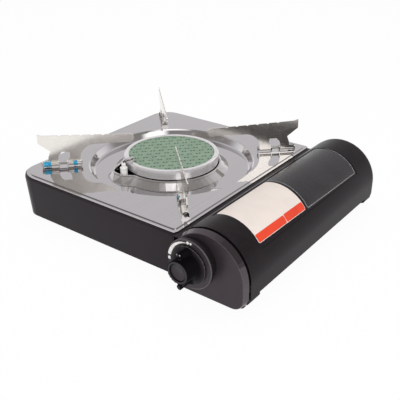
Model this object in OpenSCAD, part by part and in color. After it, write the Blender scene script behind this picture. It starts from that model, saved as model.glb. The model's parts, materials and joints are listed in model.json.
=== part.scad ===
/* [Burner tray] */
// Width of the burner tray, from its left side to the cartridge bay
tray_w = 239; // [225:1:260]
// Depth of the burner tray, front to rear
tray_d = 270; // [262:1:290]
// Height of the deck's top above the ground
deck_z = 55.5; // [54:0.5:62]
// How far each outer side leans in between shoulder and floor
tray_lean = 3; // [1:0.5:5]
// Radius of the two outer corners of the tray
tray_corner_r = 23; // [14:1:28]
// Sheet thickness of the tray and of the cartridge trough
case_sheet = 0.8; // [0.6:0.1:1]
// Width of the flange that the deck rests on
flange_w = 9; // [7:0.5:11]

/* [Deck] */
// Sheet thickness of the deck
deck_sheet = 0.8; // [0.6:0.1:1]
// Width of the low rim round the deck's plateau
rim_w = 4; // [3:0.5:6]
// Height of the plateau above that rim
rim_step = 1; // [0.9:0.1:1.4]
// Distance from the tray's outside to the deck's edge
deck_inset = 1.2; // [0.8:0.1:2]
// Radius of the pressed dish, at its upper edge
dish_r = 98.7; // [94:0.1:102]
// Depth of the pressed dish
dish_depth = 9.6; // [8:0.1:10.4]
// How far the wall of the dish slopes in
dish_slope = 5; // [3:0.5:7]

/* [Burner] */
// Shift of the burner from the tray's centre, towards the cartridge bay
burner_shift_x = 4.8; // [0:0.1:6]
// Shift of the burner from the tray's centre, towards the rear
burner_shift_y = 0.6; // [-2:0.1:3]
// Outer radius of the bright ring round the ceramic
bezel_r = 57.2; // [55:0.1:58]
// Height of the bright ring's top above the deck
bezel_rise = 9.6; // [8:0.1:11]
// Height of the ring's outer wall
bezel_wall_h = 11; // [9:0.5:12]
// Width of the ring's lip over the ceramic
bezel_lip = 5.4; // [4.6:0.1:6]
// Depth of the steel bowl below the ring's top
bowl_depth = 40; // [38:0.5:41]
// Radius of the lower part of the bowl
bowl_r = 47; // [45:0.5:48]
// Thickness of the ceramic plate
ceramic_t = 14.4; // [13:0.1:14.6]
// Radius of the wind collar at its foot
collar_foot_r = 69; // [67.5:0.1:69.4]
// Radius of the wind collar at its upper edge
collar_top_r = 58.8; // [58.4:0.1:60]
// Height of the wind collar
collar_h = 7.4; // [5:0.2:8]
// Outer radius of the mixing tube
mixer_r = 8; // [7:0.5:8.5]

/* [Igniter] */
// Direction of the igniter seen from the burner's centre, in degrees
igniter_angle = -110.3; // [-112:0.1:-109]
// Direction of the collar's pocket for the igniter, in degrees
pocket_angle = -115; // [-117:1:-112]
// Distance of the igniter from the burner's centre
igniter_reach = 64.7; // [64:0.1:65]
// Height of the igniter's ceramic above the deck
igniter_rise = 10.5; // [9:0.5:11.5]

/* [Pan supports] */
// Distance from the burner's centre to the inner tip of a support
support_tip = 44; // [40:1:52]
// Distance from the burner's centre to the outer hook
support_hook = 156; // [152:1:160]
// Height of the outer hook above the deck
support_rise = 41.2; // [36:0.2:44]
// Direction of the rear right support, in degrees
support_turn = 45.5; // [44:0.5:46]
// Sheet thickness of a support
support_sheet = 1.2; // [1:0.1:1.4]
// Where the inner end of the hinge bracket lies
hinge_start = 107.6; // [105:0.2:110]
// Where the outer end of the hinge bracket lies
hinge_end = 153.2; // [150:0.2:154]
// Height of the hinge rod's axis above the deck
hinge_rise = 5; // [4.4:0.1:5.6]
// Radius of the hinge rod
rod_r = 1.5; // [1.2:0.1:1.6]

/* [Cartridge bay] */
// Outer radius of the cartridge cover
cover_r = 44.5; // [43.5:0.5:46]
// Height of the cover's round axis above the ground
cover_axis_z = 30; // [29:0.5:32]
// Sheet thickness of the cover
cover_sheet = 0.8; // [0.6:0.1:1]
// Distance from the front of the end cap to the cover
cover_start = 10; // [9.8:0.1:11]
// Thickness of the rear cap
rear_cap_t = 3.2; // [2.6:0.1:4]
// Depth of the panel pressed into the cover
panel_depth = 0.6; // [0.3:0.1:0.8]
// Radius of the gas cartridge that the bay takes
cartridge_r = 33; // [32.5:0.1:33.4]
// Height of the cartridge's axis above the ground
cartridge_z = 39; // [38.5:0.1:39.4]
// Distance of the trough's outer wall from the round axis
trough_side = 35.3; // [34.6:0.1:35.5]
// Height of the cover's hinge axis above the ground
cover_hinge_z = 12; // [11:0.5:14]
// Radius of the cover's two hinge pins
cover_pin_r = 1.5; // [1.2:0.1:1.8]

/* [Control end] */
// Radius of the end caps
cap_r = 44.2; // [43.4:0.1:44.4]
// How far the front cap's face is smaller than its rim
cap_taper = 1.9; // [1:0.1:2.4]
// How far the front cap stands ahead of the tray
cap_lead = 9.5; // [9:0.1:10]
// Depth of the cap's rim
cap_rim = 7; // [5:0.5:7.2]
// Wall of the end caps
cap_wall = 1.6; // [1.2:0.1:2]
// Shift of the knob from the round axis, towards the tray
knob_shift = 10.6; // [9:0.1:11]
// Height of the knob's axis above the ground
knob_z = 42.6; // [42.4:0.1:44]
// Outer radius of the fixed dial ring
dial_r = 26; // [24.5:0.1:26.4]
// How far the dial ring stands out of the cap
dial_h = 12; // [9:0.5:13]
// Radius of the knob's skirt
knob_r = 21.8; // [20:0.1:22.4]
// Height of the knob's skirt
skirt_h = 3.6; // [3:0.1:5]
// Height of the ridged grip above the skirt
grip_h = 13.1; // [11:0.1:14]
// Radius of the grip, without its ridges
grip_r = 11.6; // [10.5:0.1:12]
// Width of the bar that crosses the grip
bar_w = 5.6; // [4.8:0.2:6.4]
// Length of that bar
bar_len = 39.4; // [36:0.2:40.5]
// Radius of the valve stem
stem_r = 4; // [3.5:0.1:4.3]

/* [Feet and fasteners] */
// Height of the rubber feet
foot_h = 3; // [2.4:0.1:3.4]
// Radius of a rubber foot
foot_r = 7; // [5.5:0.5:8]
// Radius of a screw's shank
screw_r = 1.7; // [1.5:0.1:2]

/* [Fits] */
// Radial clearance of a shaft or pin that turns
run_fit = 0.05; // [0.03:0.01:0.08]
// Gap between a moving piece and its neighbour
move_gap = 0.3; // [0.3:0.05:0.4]
// Radial clearance of a fixed piece in its hole
seat_fit = 0.1; // [0.05:0.01:0.15]

/* [Hidden] */
// Smoothness of round solids, of outline corners and of the cover's arc
$fn = 64;
corner_steps = 8;
arc_steps = 32;
// One overrun serves every cut, one thin slice every hull and one bevel the small turned pieces
over = 1;
slice = 0.02;
bevel = 1;
// Pan-head screw that serves every place
screw_head_r = 3.2;
screw_head_h = 1.5;
screw_neck_share = 0.6;
screw_len = 7;

// Places of the main pieces, with the whole stove centred on the origin
knob_reach = dial_h + move_gap + skirt_h + grip_h;
overall_w = tray_w + 2 * cover_r;
overall_d = knob_reach + cap_lead + tray_d + screw_head_h;
left_x = -overall_w / 2;
bay_x = left_x + tray_w;
axis_x = bay_x + cover_r;
cap_y = -overall_d / 2 + knob_reach;
front_y = cap_y + cap_lead;
rear_y = front_y + tray_d;
burner_x = left_x + tray_w / 2 + burner_shift_x;
burner_y = front_y + tray_d / 2 + burner_shift_y;

// Tray and deck
inner_corner_r = 4;
floor_top = foot_h + case_sheet;
seat_z = deck_z - rim_step - deck_sheet;
shoulder_drop = 5;
shoulder_in = 1;
deck_corner_r = tray_corner_r + deck_inset;
dish_floor_z = deck_z - dish_depth;
dish_edge = 1.2;
collar_seat_w = 5.2;
dish_hole_r = collar_foot_r - collar_seat_w;
vent_count = 10;
vent_reach = 80;
vent_len = 26;
vent_w = 5;

// Bowl and ceramic
bezel_top = deck_z + bezel_rise;
bezel_sheet = 0.8;
bowl_sheet = 0.8;
bowl_z = bezel_top - bowl_depth;
bowl_edge = 3;
bowl_flare_drop = 23;
bowl_seat_drop = 15;
bowl_step = 1.9;
bowl_flare_z = bezel_top - bowl_flare_drop;
bowl_seat_z = bezel_top - bowl_seat_drop;
bowl_seat_r = bezel_r - bezel_sheet - bowl_step;
bowl_rim_r = bezel_r - bezel_sheet - seat_fit;
gasket_t = 0.5;
ceramic_r = bowl_seat_r - bowl_sheet - gasket_t;
ceramic_top = bezel_top - bezel_sheet - seat_fit;
ceramic_edge = 0.6;
diffuser_drop = 3;
diffuser_z = bowl_flare_z - diffuser_drop;
diffuser_t = 0.8;
diffuser_hole_r = 2;
diffuser_ring_counts = [6, 12, 18];
diffuser_ring_gap = 12;
stand_w = 18;
stand_foot = 14;
stand_gap = 3;
stand_leg = bowl_r + stand_gap;
stand_sheet = 1.2;

// Pipework
mixer_sheet = 0.8;
mixer_z = 34;
mixer_mouth_r = 12;
mixer_mouth_len = 14;
jet_from_bay = 9;
jet_from_front = 29.5;
jet_x = bay_x - jet_from_bay;
jet_y = front_y + jet_from_front;
jet_dx = burner_x - jet_x;
jet_dy = burner_y - jet_y;
jet_run = sqrt(jet_dx * jet_dx + jet_dy * jet_dy);
jet_turn = atan2(jet_dy, jet_dx);
pipe_r = 3;
elbow_r = 4.5;
pipe_elbow = 12;
jet_len = 12;
jet_hex_r = 5;
jet_neck_r = 3.5;
jet_tip_r = 2;
jet_gap = 6;
mixer_start = pipe_elbow + jet_len + jet_gap;
wall_hole_r = 5;

// Igniter
ignite_body_r = 4.4;
ignite_neck_r = 2.5;
ignite_neck_h = 4.5;
ignite_waist_drop = 4;
ignite_foot_drop = 23;
ignite_low_r = 2.8;
ignite_waist_z = deck_z - ignite_waist_drop;
ignite_foot_z = deck_z - ignite_foot_drop;
ignite_collar_h = 3;
wire_r = 0.6;
wire_rise = 1.6;
wire_reach = 12;
// Pocket of the collar: angle at which each edge leaves the circle, then the corners between the two,
// each with its share of the radius and its angle
pocket_foot_turns = [20, -31];
pocket_top_turns = [18, -30];
pocket_foot_shares = [[1.1, 14.5], [1.17, 5], [1.165, -5], [1.125, -12], [1.055, -22]];
pocket_top_shares = [[1.2, 6.5], [1.248, -2], [1.244, -6.2], [1.175, -11.7], [1.1, -16.6]];
// Corners of the deck's cut under the pocket, as shares of the collar's radius at its foot
pocket_cut_shares = [
    [0.7, -0.33], [1.03, -0.31], [1.1, -0.18], [1.11, 0.08], [1.04, 0.21], [0.94, 0.27], [0.7, 0.33]
];
collar_steps = 48;
collar_sheet = 0.8;
// Section of the collar: share of its height, and offset from the outside as a share of its sheet
collar_shares = [[0, 0], [0.84, 0], [0.87, 1], [0.95, 1.1], [1, 0.4], [1, -1], [0, -1]];
bracket_sheet = 1;
bracket_w = 13;
bracket_drop = 16.5;
bracket_z = deck_z - bracket_drop;
bracket_tail = 6;
tab_w = 4;
tab_len = 9;
tab_bend = 3;
tab_t = 0.8;
tab_turn = 4.5;
tab_rise = 1.8;
lead_r = 1.3;
lead_sides = 8;
lead_hole_r = 3;

// Pan supports
support_turns = [for (quarter = [2, 3, 0, 1]) support_turn + 90 * quarter];
support_sides = [1, -1, 1, -1];
knuckle_wall = 1.4;
knuckle_r = rod_r + run_fit + knuckle_wall;
sheet_shift = knuckle_r - support_sheet / 2;
hook_w = 4.4;
hook_point = 2.6;
hook_root_share = 0.966;
hook_foot_share = 0.74;
leg_in = 7.4;
neck_in = 2.8;
neck_top_share = 0.49;
neck_share = 0.62;
blade_drop_share = 0.63;
blade_top_share = 0.875;
notch_pitch = 12.65;
notch_start = 23.4;
notch_first = support_tip + notch_start;
notch_count = 6;
notch_w = 2.6;
notch_depth = 0.9;
ear_t = 0.9;
outer_knuckle_len = 17.1;
inner_knuckle_len = 14.4;
outer_knuckle_end = hinge_end - ear_t - move_gap;
outer_knuckle_start = outer_knuckle_end - outer_knuckle_len;
inner_knuckle_start = hinge_start + ear_t + move_gap;
inner_knuckle_end = inner_knuckle_start + inner_knuckle_len;
ear_places = [
    hinge_start, inner_knuckle_end + move_gap, outer_knuckle_start - move_gap - ear_t, hinge_end - ear_t
];
window_rise = 18.4;
window_bevel = 4.4;
window_in = 2.6;
bracket_strip_w = 10;
bracket_strip_t = 0.8;
ear_r = 3.6;
ear_foot = 8;
rod_head_step = 0.7;
rod_head_r = rod_r + rod_head_step;
rod_head_t = 0.8;

// Cartridge bay
trough_corner_r = 8;
trough_wall_z = 18;
trough_hem_r = 1;
gutter_w = 8.6;
shield_gap = 7;
shield_sheet = 0.6;
shield_foot = 8;
shield_top = 44;
shield_inset = 21;
shield_hole_gap = 2.2;
cradle_w = 36;
cradle_t = 1;
cradle_start = 67;
cradle_end = 6;
cradle_gap = 0.5;
cradle_stop_z = 12;
plate_from_cap = 24;
bracket_plate_y = cap_y + plate_from_cap;
plate_t = 1.2;
plate_half_w = 27;
plate_top = 60;
plate_corner_r = 8;
plate_foot = 6;
plate_hole_gap = 0.5;
regulator_len = 28;
regulator_r = 19;
regulator_foot_w = 22;
regulator_shares = [[1, 0.55], [0.8, 0.7], [0.8, 1]];
stem_depth = 14;
socket_r = 24;
socket_len = 10;
socket_bore_r = 15.2;
socket_lug_w = 7;
outlet_r = 6;
outlet_len = 8;
tip_r = 4.2;
tip_len = 6;
cam_r = 8;
cam_t = 6;
cam_from_cap = 14;
cam_y = cap_y + cam_from_cap;
cam_low = -90;
cam_turn = 100;
cam_return = 40;
cam_close = 350;
cam_steps = 20;
cam_bump = 0.25;
spark_x = axis_x - knob_shift;
spark_y = cam_y + cam_t / 2;
spark_w = 12;
spark_h = 24;
spark_well = 12;
spark_socket_r = 3;
spark_socket_len = 4;
spark_socket_z = 17;
plunger_r = 3;
plunger_travel = 3.5;
plunger_top = knob_z - cam_r - cam_bump - move_gap;
spark_top = plunger_top - plunger_travel - move_gap;

// Cover and its hinge
cover_low = -1;
cover_left_angle = 145.2;
cover_hem = 3;
cover_hem_angle = 1.2;
gutter_gap = 0.45;
gutter_z = cover_axis_z + (cover_r - cover_hem) * sin(cover_left_angle) - gutter_gap;
panel_start = 27;
panel_end = 33;
panel_low_angle = 31;
panel_high_angle = 118;
panel_wall_angle = 1.1;
cover_knuckle_r = 4;
cover_knuckle_len = 16;
cover_hinge_x = axis_x + cover_r - cover_knuckle_r;
cover_y0 = cap_y + cover_start;
cover_y1 = rear_y - rear_cap_t - move_gap;
lug_t = cover_start - cap_rim - move_gap;
lug_r = 3.9;
ear_drop_r = 6.6;
ear_drop_in = 1.4;
ear_drop_z = 8;
pin_len = 14;
cap_corner_r = 13;
cap_lip_t = 1;
cap_lip_len = 6;
cap_lip_start = 3;
cap_lip_stop = 148;
rear_lip_len = 6;

// Knob
dial_flare = 3;
dial_neck_r = dial_r - dial_flare;
dial_neck_h = 7;
dial_edge = 1;
dial_bore_gap = 1.5;
dial_bore_r = stem_r + dial_bore_gap;
skirt_edge = 0.8;
ridge_h = 0.7;
ridge_count = 22;
grip_rim = 2;
grip_recess = 1.2;
bar_drop = 2;
pointer_w = 1.8;
pointer_len = 4;
pointer_t = 0.4;
hub_depth = 8;

// Feet and screws
foot_inset = 27;
foot_bevel = 1;
foot_neck_r = 2.6;
foot_barb_r = 3.2;
foot_barb_h = 1.8;
bay_foot_in = 22.3;
bay_foot_y = 10;
cap_screw_z = 16;
cap_screw_x = 22;

foot_spots = [
    [left_x + foot_inset, front_y + foot_inset],
    [left_x + foot_inset, rear_y - foot_inset],
    [axis_x + bay_foot_in, front_y + bay_foot_y],
    [axis_x + bay_foot_in, rear_y - bay_foot_y]
];
stand_spots = [
    [burner_x - stand_leg - stand_foot / 2, burner_y],
    [burner_x + stand_leg + stand_foot / 2, burner_y]
];

// The lead drops from the igniter, crosses the tray's floor and passes the wall to the spark unit
lead_from_front = 14.5;
lead_wall_y = front_y + lead_from_front;
lead_wall_z = 18;
lead_floor_z = 9;
lead_pass = 8;
lead_sag = 2;
lead_drop = ignite_foot_z - lead_floor_z;
lead_from = [
    burner_x + igniter_reach * cos(igniter_angle),
    burner_y + igniter_reach * sin(igniter_angle),
    ignite_foot_z
];
lead_to = [spark_x - spark_w / 2 - spark_socket_len, spark_y, spark_socket_z];
lead_drop_shares = [[0, 0, 0], [0, 0, -0.25], [0.13, -0.17, -0.55], [0.46, -0.5, -0.81]];
lead_shares = [[0.20, 0.38], [0.36, 0.57], [0.54, 0.74], [0.72, 0.88], [0.85, 0.97]];
lead_points = concat(
    [for (s = lead_drop_shares) lead_from + lead_drop * s],
    [for (s = lead_shares) [
        lead_from[0] + s[0] * (bay_x - lead_from[0]),
        lead_from[1] + s[1] * (lead_wall_y - lead_from[1]),
        lead_floor_z
    ]],
    [
        [bay_x - lead_pass, lead_wall_y, lead_wall_z - lead_sag],
        [bay_x + lead_sag, lead_wall_y - bevel, lead_wall_z],
        [bay_x + lead_pass + lead_sag, spark_y + lead_sag, lead_wall_z],
        [lead_to[0] - lead_pass, lead_to[1], lead_to[2]],
        lead_to
    ]
);

// Points along an arc, from one angle to another
function arc(x, y, r, a0, a1, steps) =
    [for (i = [0 : steps]) let (a = a0 + (a1 - a0) * i / steps) [x + r * cos(a), y + r * sin(a)]];

// Rectangle whose left corners and right corners have radii of their own
function tray_outline(x0, x1, y0, y1, left_r, right_r) = concat(
    arc(x1 - right_r, y0 + right_r, right_r, -90, 0, corner_steps),
    arc(x1 - right_r, y1 - right_r, right_r, 0, 90, corner_steps),
    arc(x0 + left_r, y1 - left_r, left_r, 90, 180, corner_steps),
    arc(x0 + left_r, y0 + left_r, left_r, 180, 270, corner_steps)
);

// End cap outline, round above the axis and straight-sided below it, in x and z
function cap_outline(r, z0) = concat(
    arc(0, cover_axis_z, r, 0, 180, arc_steps),
    arc(cap_corner_r - r, z0 + cap_corner_r, cap_corner_r, 180, 270, corner_steps),
    arc(r - cap_corner_r, z0 + cap_corner_r, cap_corner_r, 270, 360, corner_steps)
);

// Band between two radii and two angles
function band(r0, r1, a0, a1) = concat(arc(0, 0, r1, a0, a1, arc_steps), arc(0, 0, r0, a1, a0, arc_steps));

// Stands a drawing in x and z upright and runs it back from y0 to y1
module run_back(y0, y1) {
    translate([0, y1, 0]) rotate([90, 0, 0]) linear_extrude(y1 - y0) children();
}

// Puts a piece on the round axis of the cartridge bay
module at_bay() {
    translate([axis_x, 0, 0]) children();
}

module at_burner() {
    translate([burner_x, burner_y, 0]) children();
}

// Slice of the tray's outside, moved in by inset on its free sides
module tray_slice(inset, right_inset, z, h) {
    translate([0, 0, z]) linear_extrude(h)
        polygon(tray_outline(left_x + inset, bay_x - right_inset, front_y + inset, rear_y - inset,
            tray_corner_r - inset, inner_corner_r));
}

module deck_slice(inset, z, h) {
    translate([0, 0, z]) linear_extrude(h)
        polygon(tray_outline(left_x + deck_inset + inset, bay_x - inset, front_y + deck_inset + inset,
            rear_y - deck_inset - inset, deck_corner_r - inset, inner_corner_r));
}

// Tapered pan with a rolled shoulder and an inward flange
module burner_tray() {
    color("#2b292c") difference() {
        hull() {
            tray_slice(tray_lean, 0, foot_h, slice);
            tray_slice(0, 0, deck_z - shoulder_drop, slice);
            tray_slice(shoulder_in, 0, seat_z - slice, slice);
        }
        hull() {
            tray_slice(tray_lean + case_sheet, case_sheet, floor_top, slice);
            tray_slice(case_sheet, case_sheet, deck_z - shoulder_drop, slice);
            tray_slice(shoulder_in + case_sheet, case_sheet, seat_z - case_sheet - slice, slice);
        }
        tray_slice(flange_w, flange_w, seat_z - case_sheet - over, case_sheet + 2 * over);
        at_burner() for (i = [0 : vent_count - 1]) rotate(i * 360 / vent_count)
            vent_slot();
        for (spot = foot_spots) if (spot[0] < bay_x)
            translate([spot[0], spot[1], foot_h - over])
                cylinder(r = foot_neck_r + seat_fit, h = case_sheet + 2 * over);
        for (spot = stand_spots) translate([spot[0], spot[1], foot_h - over])
            cylinder(r = screw_r + seat_fit, h = case_sheet + 2 * over);
        wall_holes();
    }
}

// Air slot with round ends, square to a radius
module vent_slot() {
    translate([vent_reach, 0, foot_h - over]) linear_extrude(case_sheet + 2 * over)
        polygon(concat(
            arc(0, vent_len / 2, vent_w / 2, 0, 180, corner_steps),
            arc(0, -vent_len / 2, vent_w / 2, 180, 360, corner_steps)));
}

// Passages for the gas pipe and the lead through the walls beside the bay
module wall_holes() {
    translate([bay_x - 2 * over, jet_y, mixer_z]) rotate([0, 90, 0])
        cylinder(r = wall_hole_r, h = 4 * over);
    translate([bay_x - 2 * over, lead_wall_y - bevel, lead_wall_z]) rotate([0, 90, 0])
        cylinder(r = lead_hole_r, h = 4 * over);
}

// Bright plate with a low rim, a raised plateau and the pressed dish round the burner
module deck_plate() {
    color("#c9c7ca") difference() {
        union() {
            difference() {
                union() {
                    deck_slice(0, seat_z, deck_sheet);
                    deck_slice(rim_w, seat_z, deck_z - seat_z);
                }
                deck_slice(rim_w + deck_sheet, seat_z - over, deck_z - deck_sheet - seat_z + over);
                at_burner() translate([0, 0, seat_z - over])
                    cylinder(r = dish_r + dish_edge, h = deck_z - seat_z + 2 * over, $fn = 128);
            }
            at_burner() rotate_extrude($fn = 128) dish_profile();
        }
        at_burner() rotate(pocket_angle) translate([0, 0, dish_floor_z - deck_sheet - over])
            linear_extrude(deck_sheet + 2 * over)
                polygon([for (s = pocket_cut_shares) [s[0] * collar_foot_r, s[1] * collar_foot_r]]);
    }
}

// Half section of the dish, from its hole to the plateau
module dish_profile() {
    floor_r = dish_r - dish_slope;
    polygon([
        [dish_hole_r, dish_floor_z - deck_sheet], [floor_r, dish_floor_z - deck_sheet],
        [floor_r + dish_edge, dish_floor_z - deck_sheet + dish_edge / 2],
        [dish_r, deck_z - deck_sheet - dish_edge / 2],
        [dish_r + dish_edge, deck_z - deck_sheet], [dish_r + 2 * dish_edge, deck_z - deck_sheet],
        [dish_r + 2 * dish_edge, deck_z], [dish_r + dish_edge, deck_z],
        [dish_r - dish_edge / 2, deck_z - dish_edge],
        [floor_r + dish_edge / 2, dish_floor_z + dish_edge],
        [floor_r - dish_edge, dish_floor_z], [dish_hole_r, dish_floor_z]
    ]);
}

// Outline of the collar with its igniter pocket, from the angles and corners of the pocket
function collar_outline(r, turns, corners) = concat(
    arc(0, 0, r, turns[0], 360 + turns[1], collar_steps),
    [for (i = [len(corners) - 1 : -1 : 0]) r * corners[i][0] * [cos(corners[i][1]), sin(corners[i][1])]]
);

// Ring of points at a share of the collar's height, moved out by an offset
function collar_ring(share, offset) = let (
        foot = collar_outline(collar_foot_r, pocket_foot_turns, pocket_foot_shares),
        top = collar_outline(collar_top_r, pocket_top_turns, pocket_top_shares))
    [for (i = [0 : len(foot) - 1]) let (
            p = (1 - share) * foot[i] + share * top[i],
            q = p * (1 + offset / norm(p)))
        [q[0], q[1], share * collar_h]];

// Bent wind collar with its igniter pocket and a rolled edge, as one closed skin
module wind_collar() {
    rings = [for (s = collar_shares) collar_ring(s[0], s[1] * collar_sheet)];
    n = len(rings[0]);
    m = len(rings);
    color("#bab6b6") at_burner() rotate(pocket_angle) translate([0, 0, dish_floor_z])
        polyhedron([for (ring = rings) each ring], [for (k = [0 : m - 1]) for (i = [0 : n - 1]) let (
                a = k * n + i,
                b = k * n + (i + 1) % n,
                c = ((k + 1) % m) * n + (i + 1) % n,
                d = ((k + 1) % m) * n + i)
            each [[a, d, c], [a, c, b]]]);
}

// Pressed bowl that carries the ceramic, open at the top
module burner_bowl() {
    color("#a9a5a3") at_burner() rotate([0, 0, jet_turn]) difference() {
        rotate_extrude($fn = 96) polygon([
            [0, bowl_z], [bowl_r - bowl_edge, bowl_z], [bowl_r, bowl_z + bowl_edge],
            [bowl_r, bowl_flare_z], [bowl_seat_r, bowl_seat_z], [bowl_rim_r, ceramic_top],
            [bowl_rim_r - bowl_sheet, ceramic_top], [bowl_seat_r - bowl_sheet, bowl_seat_z],
            [bowl_r - bowl_sheet, bowl_flare_z + bowl_sheet / 2],
            [bowl_r - bowl_sheet, bowl_z + bowl_edge + bowl_sheet / 2],
            [bowl_r - bowl_edge - bowl_sheet / 2, bowl_z + bowl_sheet], [0, bowl_z + bowl_sheet]
        ]);
        translate([0, 0, mixer_z]) rotate([0, -90, 0]) cylinder(r = mixer_r + seat_fit, h = bowl_r + over);
    }
}

// Bright ring that wraps the bowl's edge and laps over the ceramic
module bezel_ring() {
    color("#d4d1cd") at_burner() rotate_extrude($fn = 128) polygon([
        [bezel_r - bezel_sheet - bezel_sheet / 2, bezel_top - bezel_wall_h],
        [bezel_r - bezel_sheet / 2, bezel_top - bezel_wall_h],
        [bezel_r, bezel_top - bezel_lip / 2],
        [bezel_r - bezel_sheet / 4, bezel_top - bezel_sheet],
        [bezel_r - bezel_sheet, bezel_top - bezel_sheet / 4],
        [bezel_r - bezel_sheet * 2, bezel_top],
        [bezel_r - bezel_lip + bezel_sheet, bezel_top],
        [bezel_r - bezel_lip, bezel_top - bezel_sheet / 2],
        [bezel_r - bezel_lip, bezel_top - bezel_sheet],
        [bezel_r - bezel_sheet, bezel_top - bezel_sheet]
    ]);
}

module ceramic_plate() {
    color("#8fae95") at_burner() rotate_extrude($fn = 96) polygon([
        [0, ceramic_top - ceramic_t], [ceramic_r - ceramic_edge, ceramic_top - ceramic_t],
        [ceramic_r, ceramic_top - ceramic_t + ceramic_edge],
        [ceramic_r, ceramic_top - ceramic_edge], [ceramic_r - ceramic_edge, ceramic_top],
        [0, ceramic_top]
    ]);
}

// Fibre ring packed between the ceramic and the bowl
module ceramic_gasket() {
    color("#e4e0d6") at_burner() translate([0, 0, bowl_seat_z]) difference() {
        cylinder(r = bowl_seat_r - bowl_sheet, h = ceramic_top - bowl_seat_z);
        translate([0, 0, -over]) cylinder(r = ceramic_r, h = ceramic_top - bowl_seat_z + 2 * over);
    }
}

// Perforated disc that spreads the gas below the ceramic
module gas_diffuser() {
    color("#9a9896") at_burner() translate([0, 0, diffuser_z]) difference() {
        cylinder(r = bowl_r - bowl_sheet, h = diffuser_t);
        for (k = [0 : len(diffuser_ring_counts) - 1]) for (i = [1 : diffuser_ring_counts[k]])
            rotate(i * 360 / diffuser_ring_counts[k])
                translate([(k + 1) * diffuser_ring_gap, 0, -over])
                    cylinder(r = diffuser_hole_r, h = diffuser_t + 2 * over);
    }
}

// Bent strap that holds the bowl above the floor
module burner_stand() {
    reach = stand_leg + stand_foot;
    color("#a5a3a1") at_burner() difference() {
        translate([0, stand_w / 2, 0]) rotate([90, 0, 0]) linear_extrude(stand_w) polygon([
            [-reach, floor_top], [-stand_leg, floor_top], [-stand_leg, bowl_z - stand_sheet],
            [stand_leg, bowl_z - stand_sheet], [stand_leg, floor_top], [reach, floor_top],
            [reach, floor_top + stand_sheet], [stand_leg + stand_sheet, floor_top + stand_sheet],
            [stand_leg + stand_sheet, bowl_z], [-stand_leg - stand_sheet, bowl_z],
            [-stand_leg - stand_sheet, floor_top + stand_sheet], [-reach, floor_top + stand_sheet]
        ]);
        for (side = [-1, 1]) translate([side * (stand_leg + stand_foot / 2), 0, floor_top - over])
            cylinder(r = screw_r + seat_fit, h = stand_sheet + 2 * over);
    }
}

// Lays a turned piece along the line from the elbow to the burner
module on_jet_line(distance) {
    translate([jet_x, jet_y, mixer_z]) rotate(jet_turn) translate([distance, 0, 0])
        rotate([0, 90, 0]) children();
}

// Air and gas mixing tube with a flared mouth
module mixing_tube() {
    length = jet_run - bowl_r + bowl_edge / 2 - mixer_start;
    color("#b4b1ae") on_jet_line(mixer_start) rotate_extrude() polygon([
        [mixer_mouth_r, 0], [mixer_r, mixer_mouth_len], [mixer_r, length],
        [mixer_r - mixer_sheet, length], [mixer_r - mixer_sheet, mixer_mouth_len],
        [mixer_mouth_r - mixer_sheet, 0]
    ]);
}

// Brass jet with its hexagon
module gas_jet() {
    color("#b08d4a") on_jet_line(pipe_elbow) {
        cylinder(r = jet_hex_r, h = jet_len / 2, $fn = 6);
        translate([0, 0, jet_len / 2]) cylinder(r1 = jet_neck_r, r2 = jet_tip_r, h = jet_len / 2);
    }
}

// Pipe from the regulator to the jet, with one elbow
module gas_pipe() {
    start_x = axis_x - regulator_r - outlet_len;
    color("#b87a50") union() {
        translate([jet_x, jet_y, mixer_z]) rotate([0, 90, 0]) cylinder(r = pipe_r, h = start_x - jet_x);
        translate([jet_x, jet_y, mixer_z - elbow_r]) cylinder(r = elbow_r, h = 2 * elbow_r);
        on_jet_line(0) cylinder(r = pipe_r, h = pipe_elbow);
    }
}

module at_igniter() {
    at_burner() rotate(igniter_angle) translate([igniter_reach, 0, 0]) children();
}

// White stepped insulator that holds the spark wire
module igniter_insulator() {
    top = deck_z + igniter_rise;
    color("#f1eee8") at_igniter() rotate_extrude($fn = 32) polygon([
        [wire_r + seat_fit, ignite_foot_z], [ignite_low_r, ignite_foot_z],
        [ignite_low_r, bracket_z + bracket_sheet],
        [ignite_body_r + bevel, bracket_z + bracket_sheet],
        [ignite_body_r + bevel, bracket_z + bracket_sheet + ignite_collar_h],
        [ignite_low_r, bracket_z + bracket_sheet + ignite_collar_h + bevel],
        [ignite_low_r, ignite_waist_z - bevel], [ignite_body_r, ignite_waist_z],
        [ignite_body_r, top - ignite_neck_h - bevel], [ignite_neck_r, top - ignite_neck_h],
        [ignite_neck_r, top - bevel / 2], [ignite_neck_r - bevel / 2, top], [wire_r + seat_fit, top]
    ]);
}

// Spark wire, bent over towards the burner
module igniter_wire() {
    bend_z = deck_z + igniter_rise + wire_rise;
    color("#4d4a48") at_igniter() {
        translate([0, 0, ignite_foot_z]) cylinder(r = wire_r, h = bend_z - ignite_foot_z, $fn = 24);
        translate([0, 0, bend_z]) sphere(r = wire_r, $fn = 24);
        translate([0, 0, bend_z]) rotate([0, -90, 0]) cylinder(r = wire_r, h = wire_reach, $fn = 24);
    }
}

// Arm from the bowl's wall that carries the insulator
module igniter_bracket() {
    near = bowl_r - bowl_sheet;
    color("#a5a3a1") at_burner() difference() {
        rotate(igniter_angle) translate([near, -bracket_w / 2, bracket_z])
            cube([igniter_reach - near + bracket_tail, bracket_w, bracket_sheet]);
        translate([0, 0, bracket_z - over]) cylinder(r = bowl_r, h = bracket_sheet + 2 * over, $fn = 96);
        rotate(igniter_angle) translate([igniter_reach, 0, bracket_z - over])
            cylinder(r = ignite_low_r + seat_fit, h = bracket_sheet + 2 * over, $fn = 32);
    }
}

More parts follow.
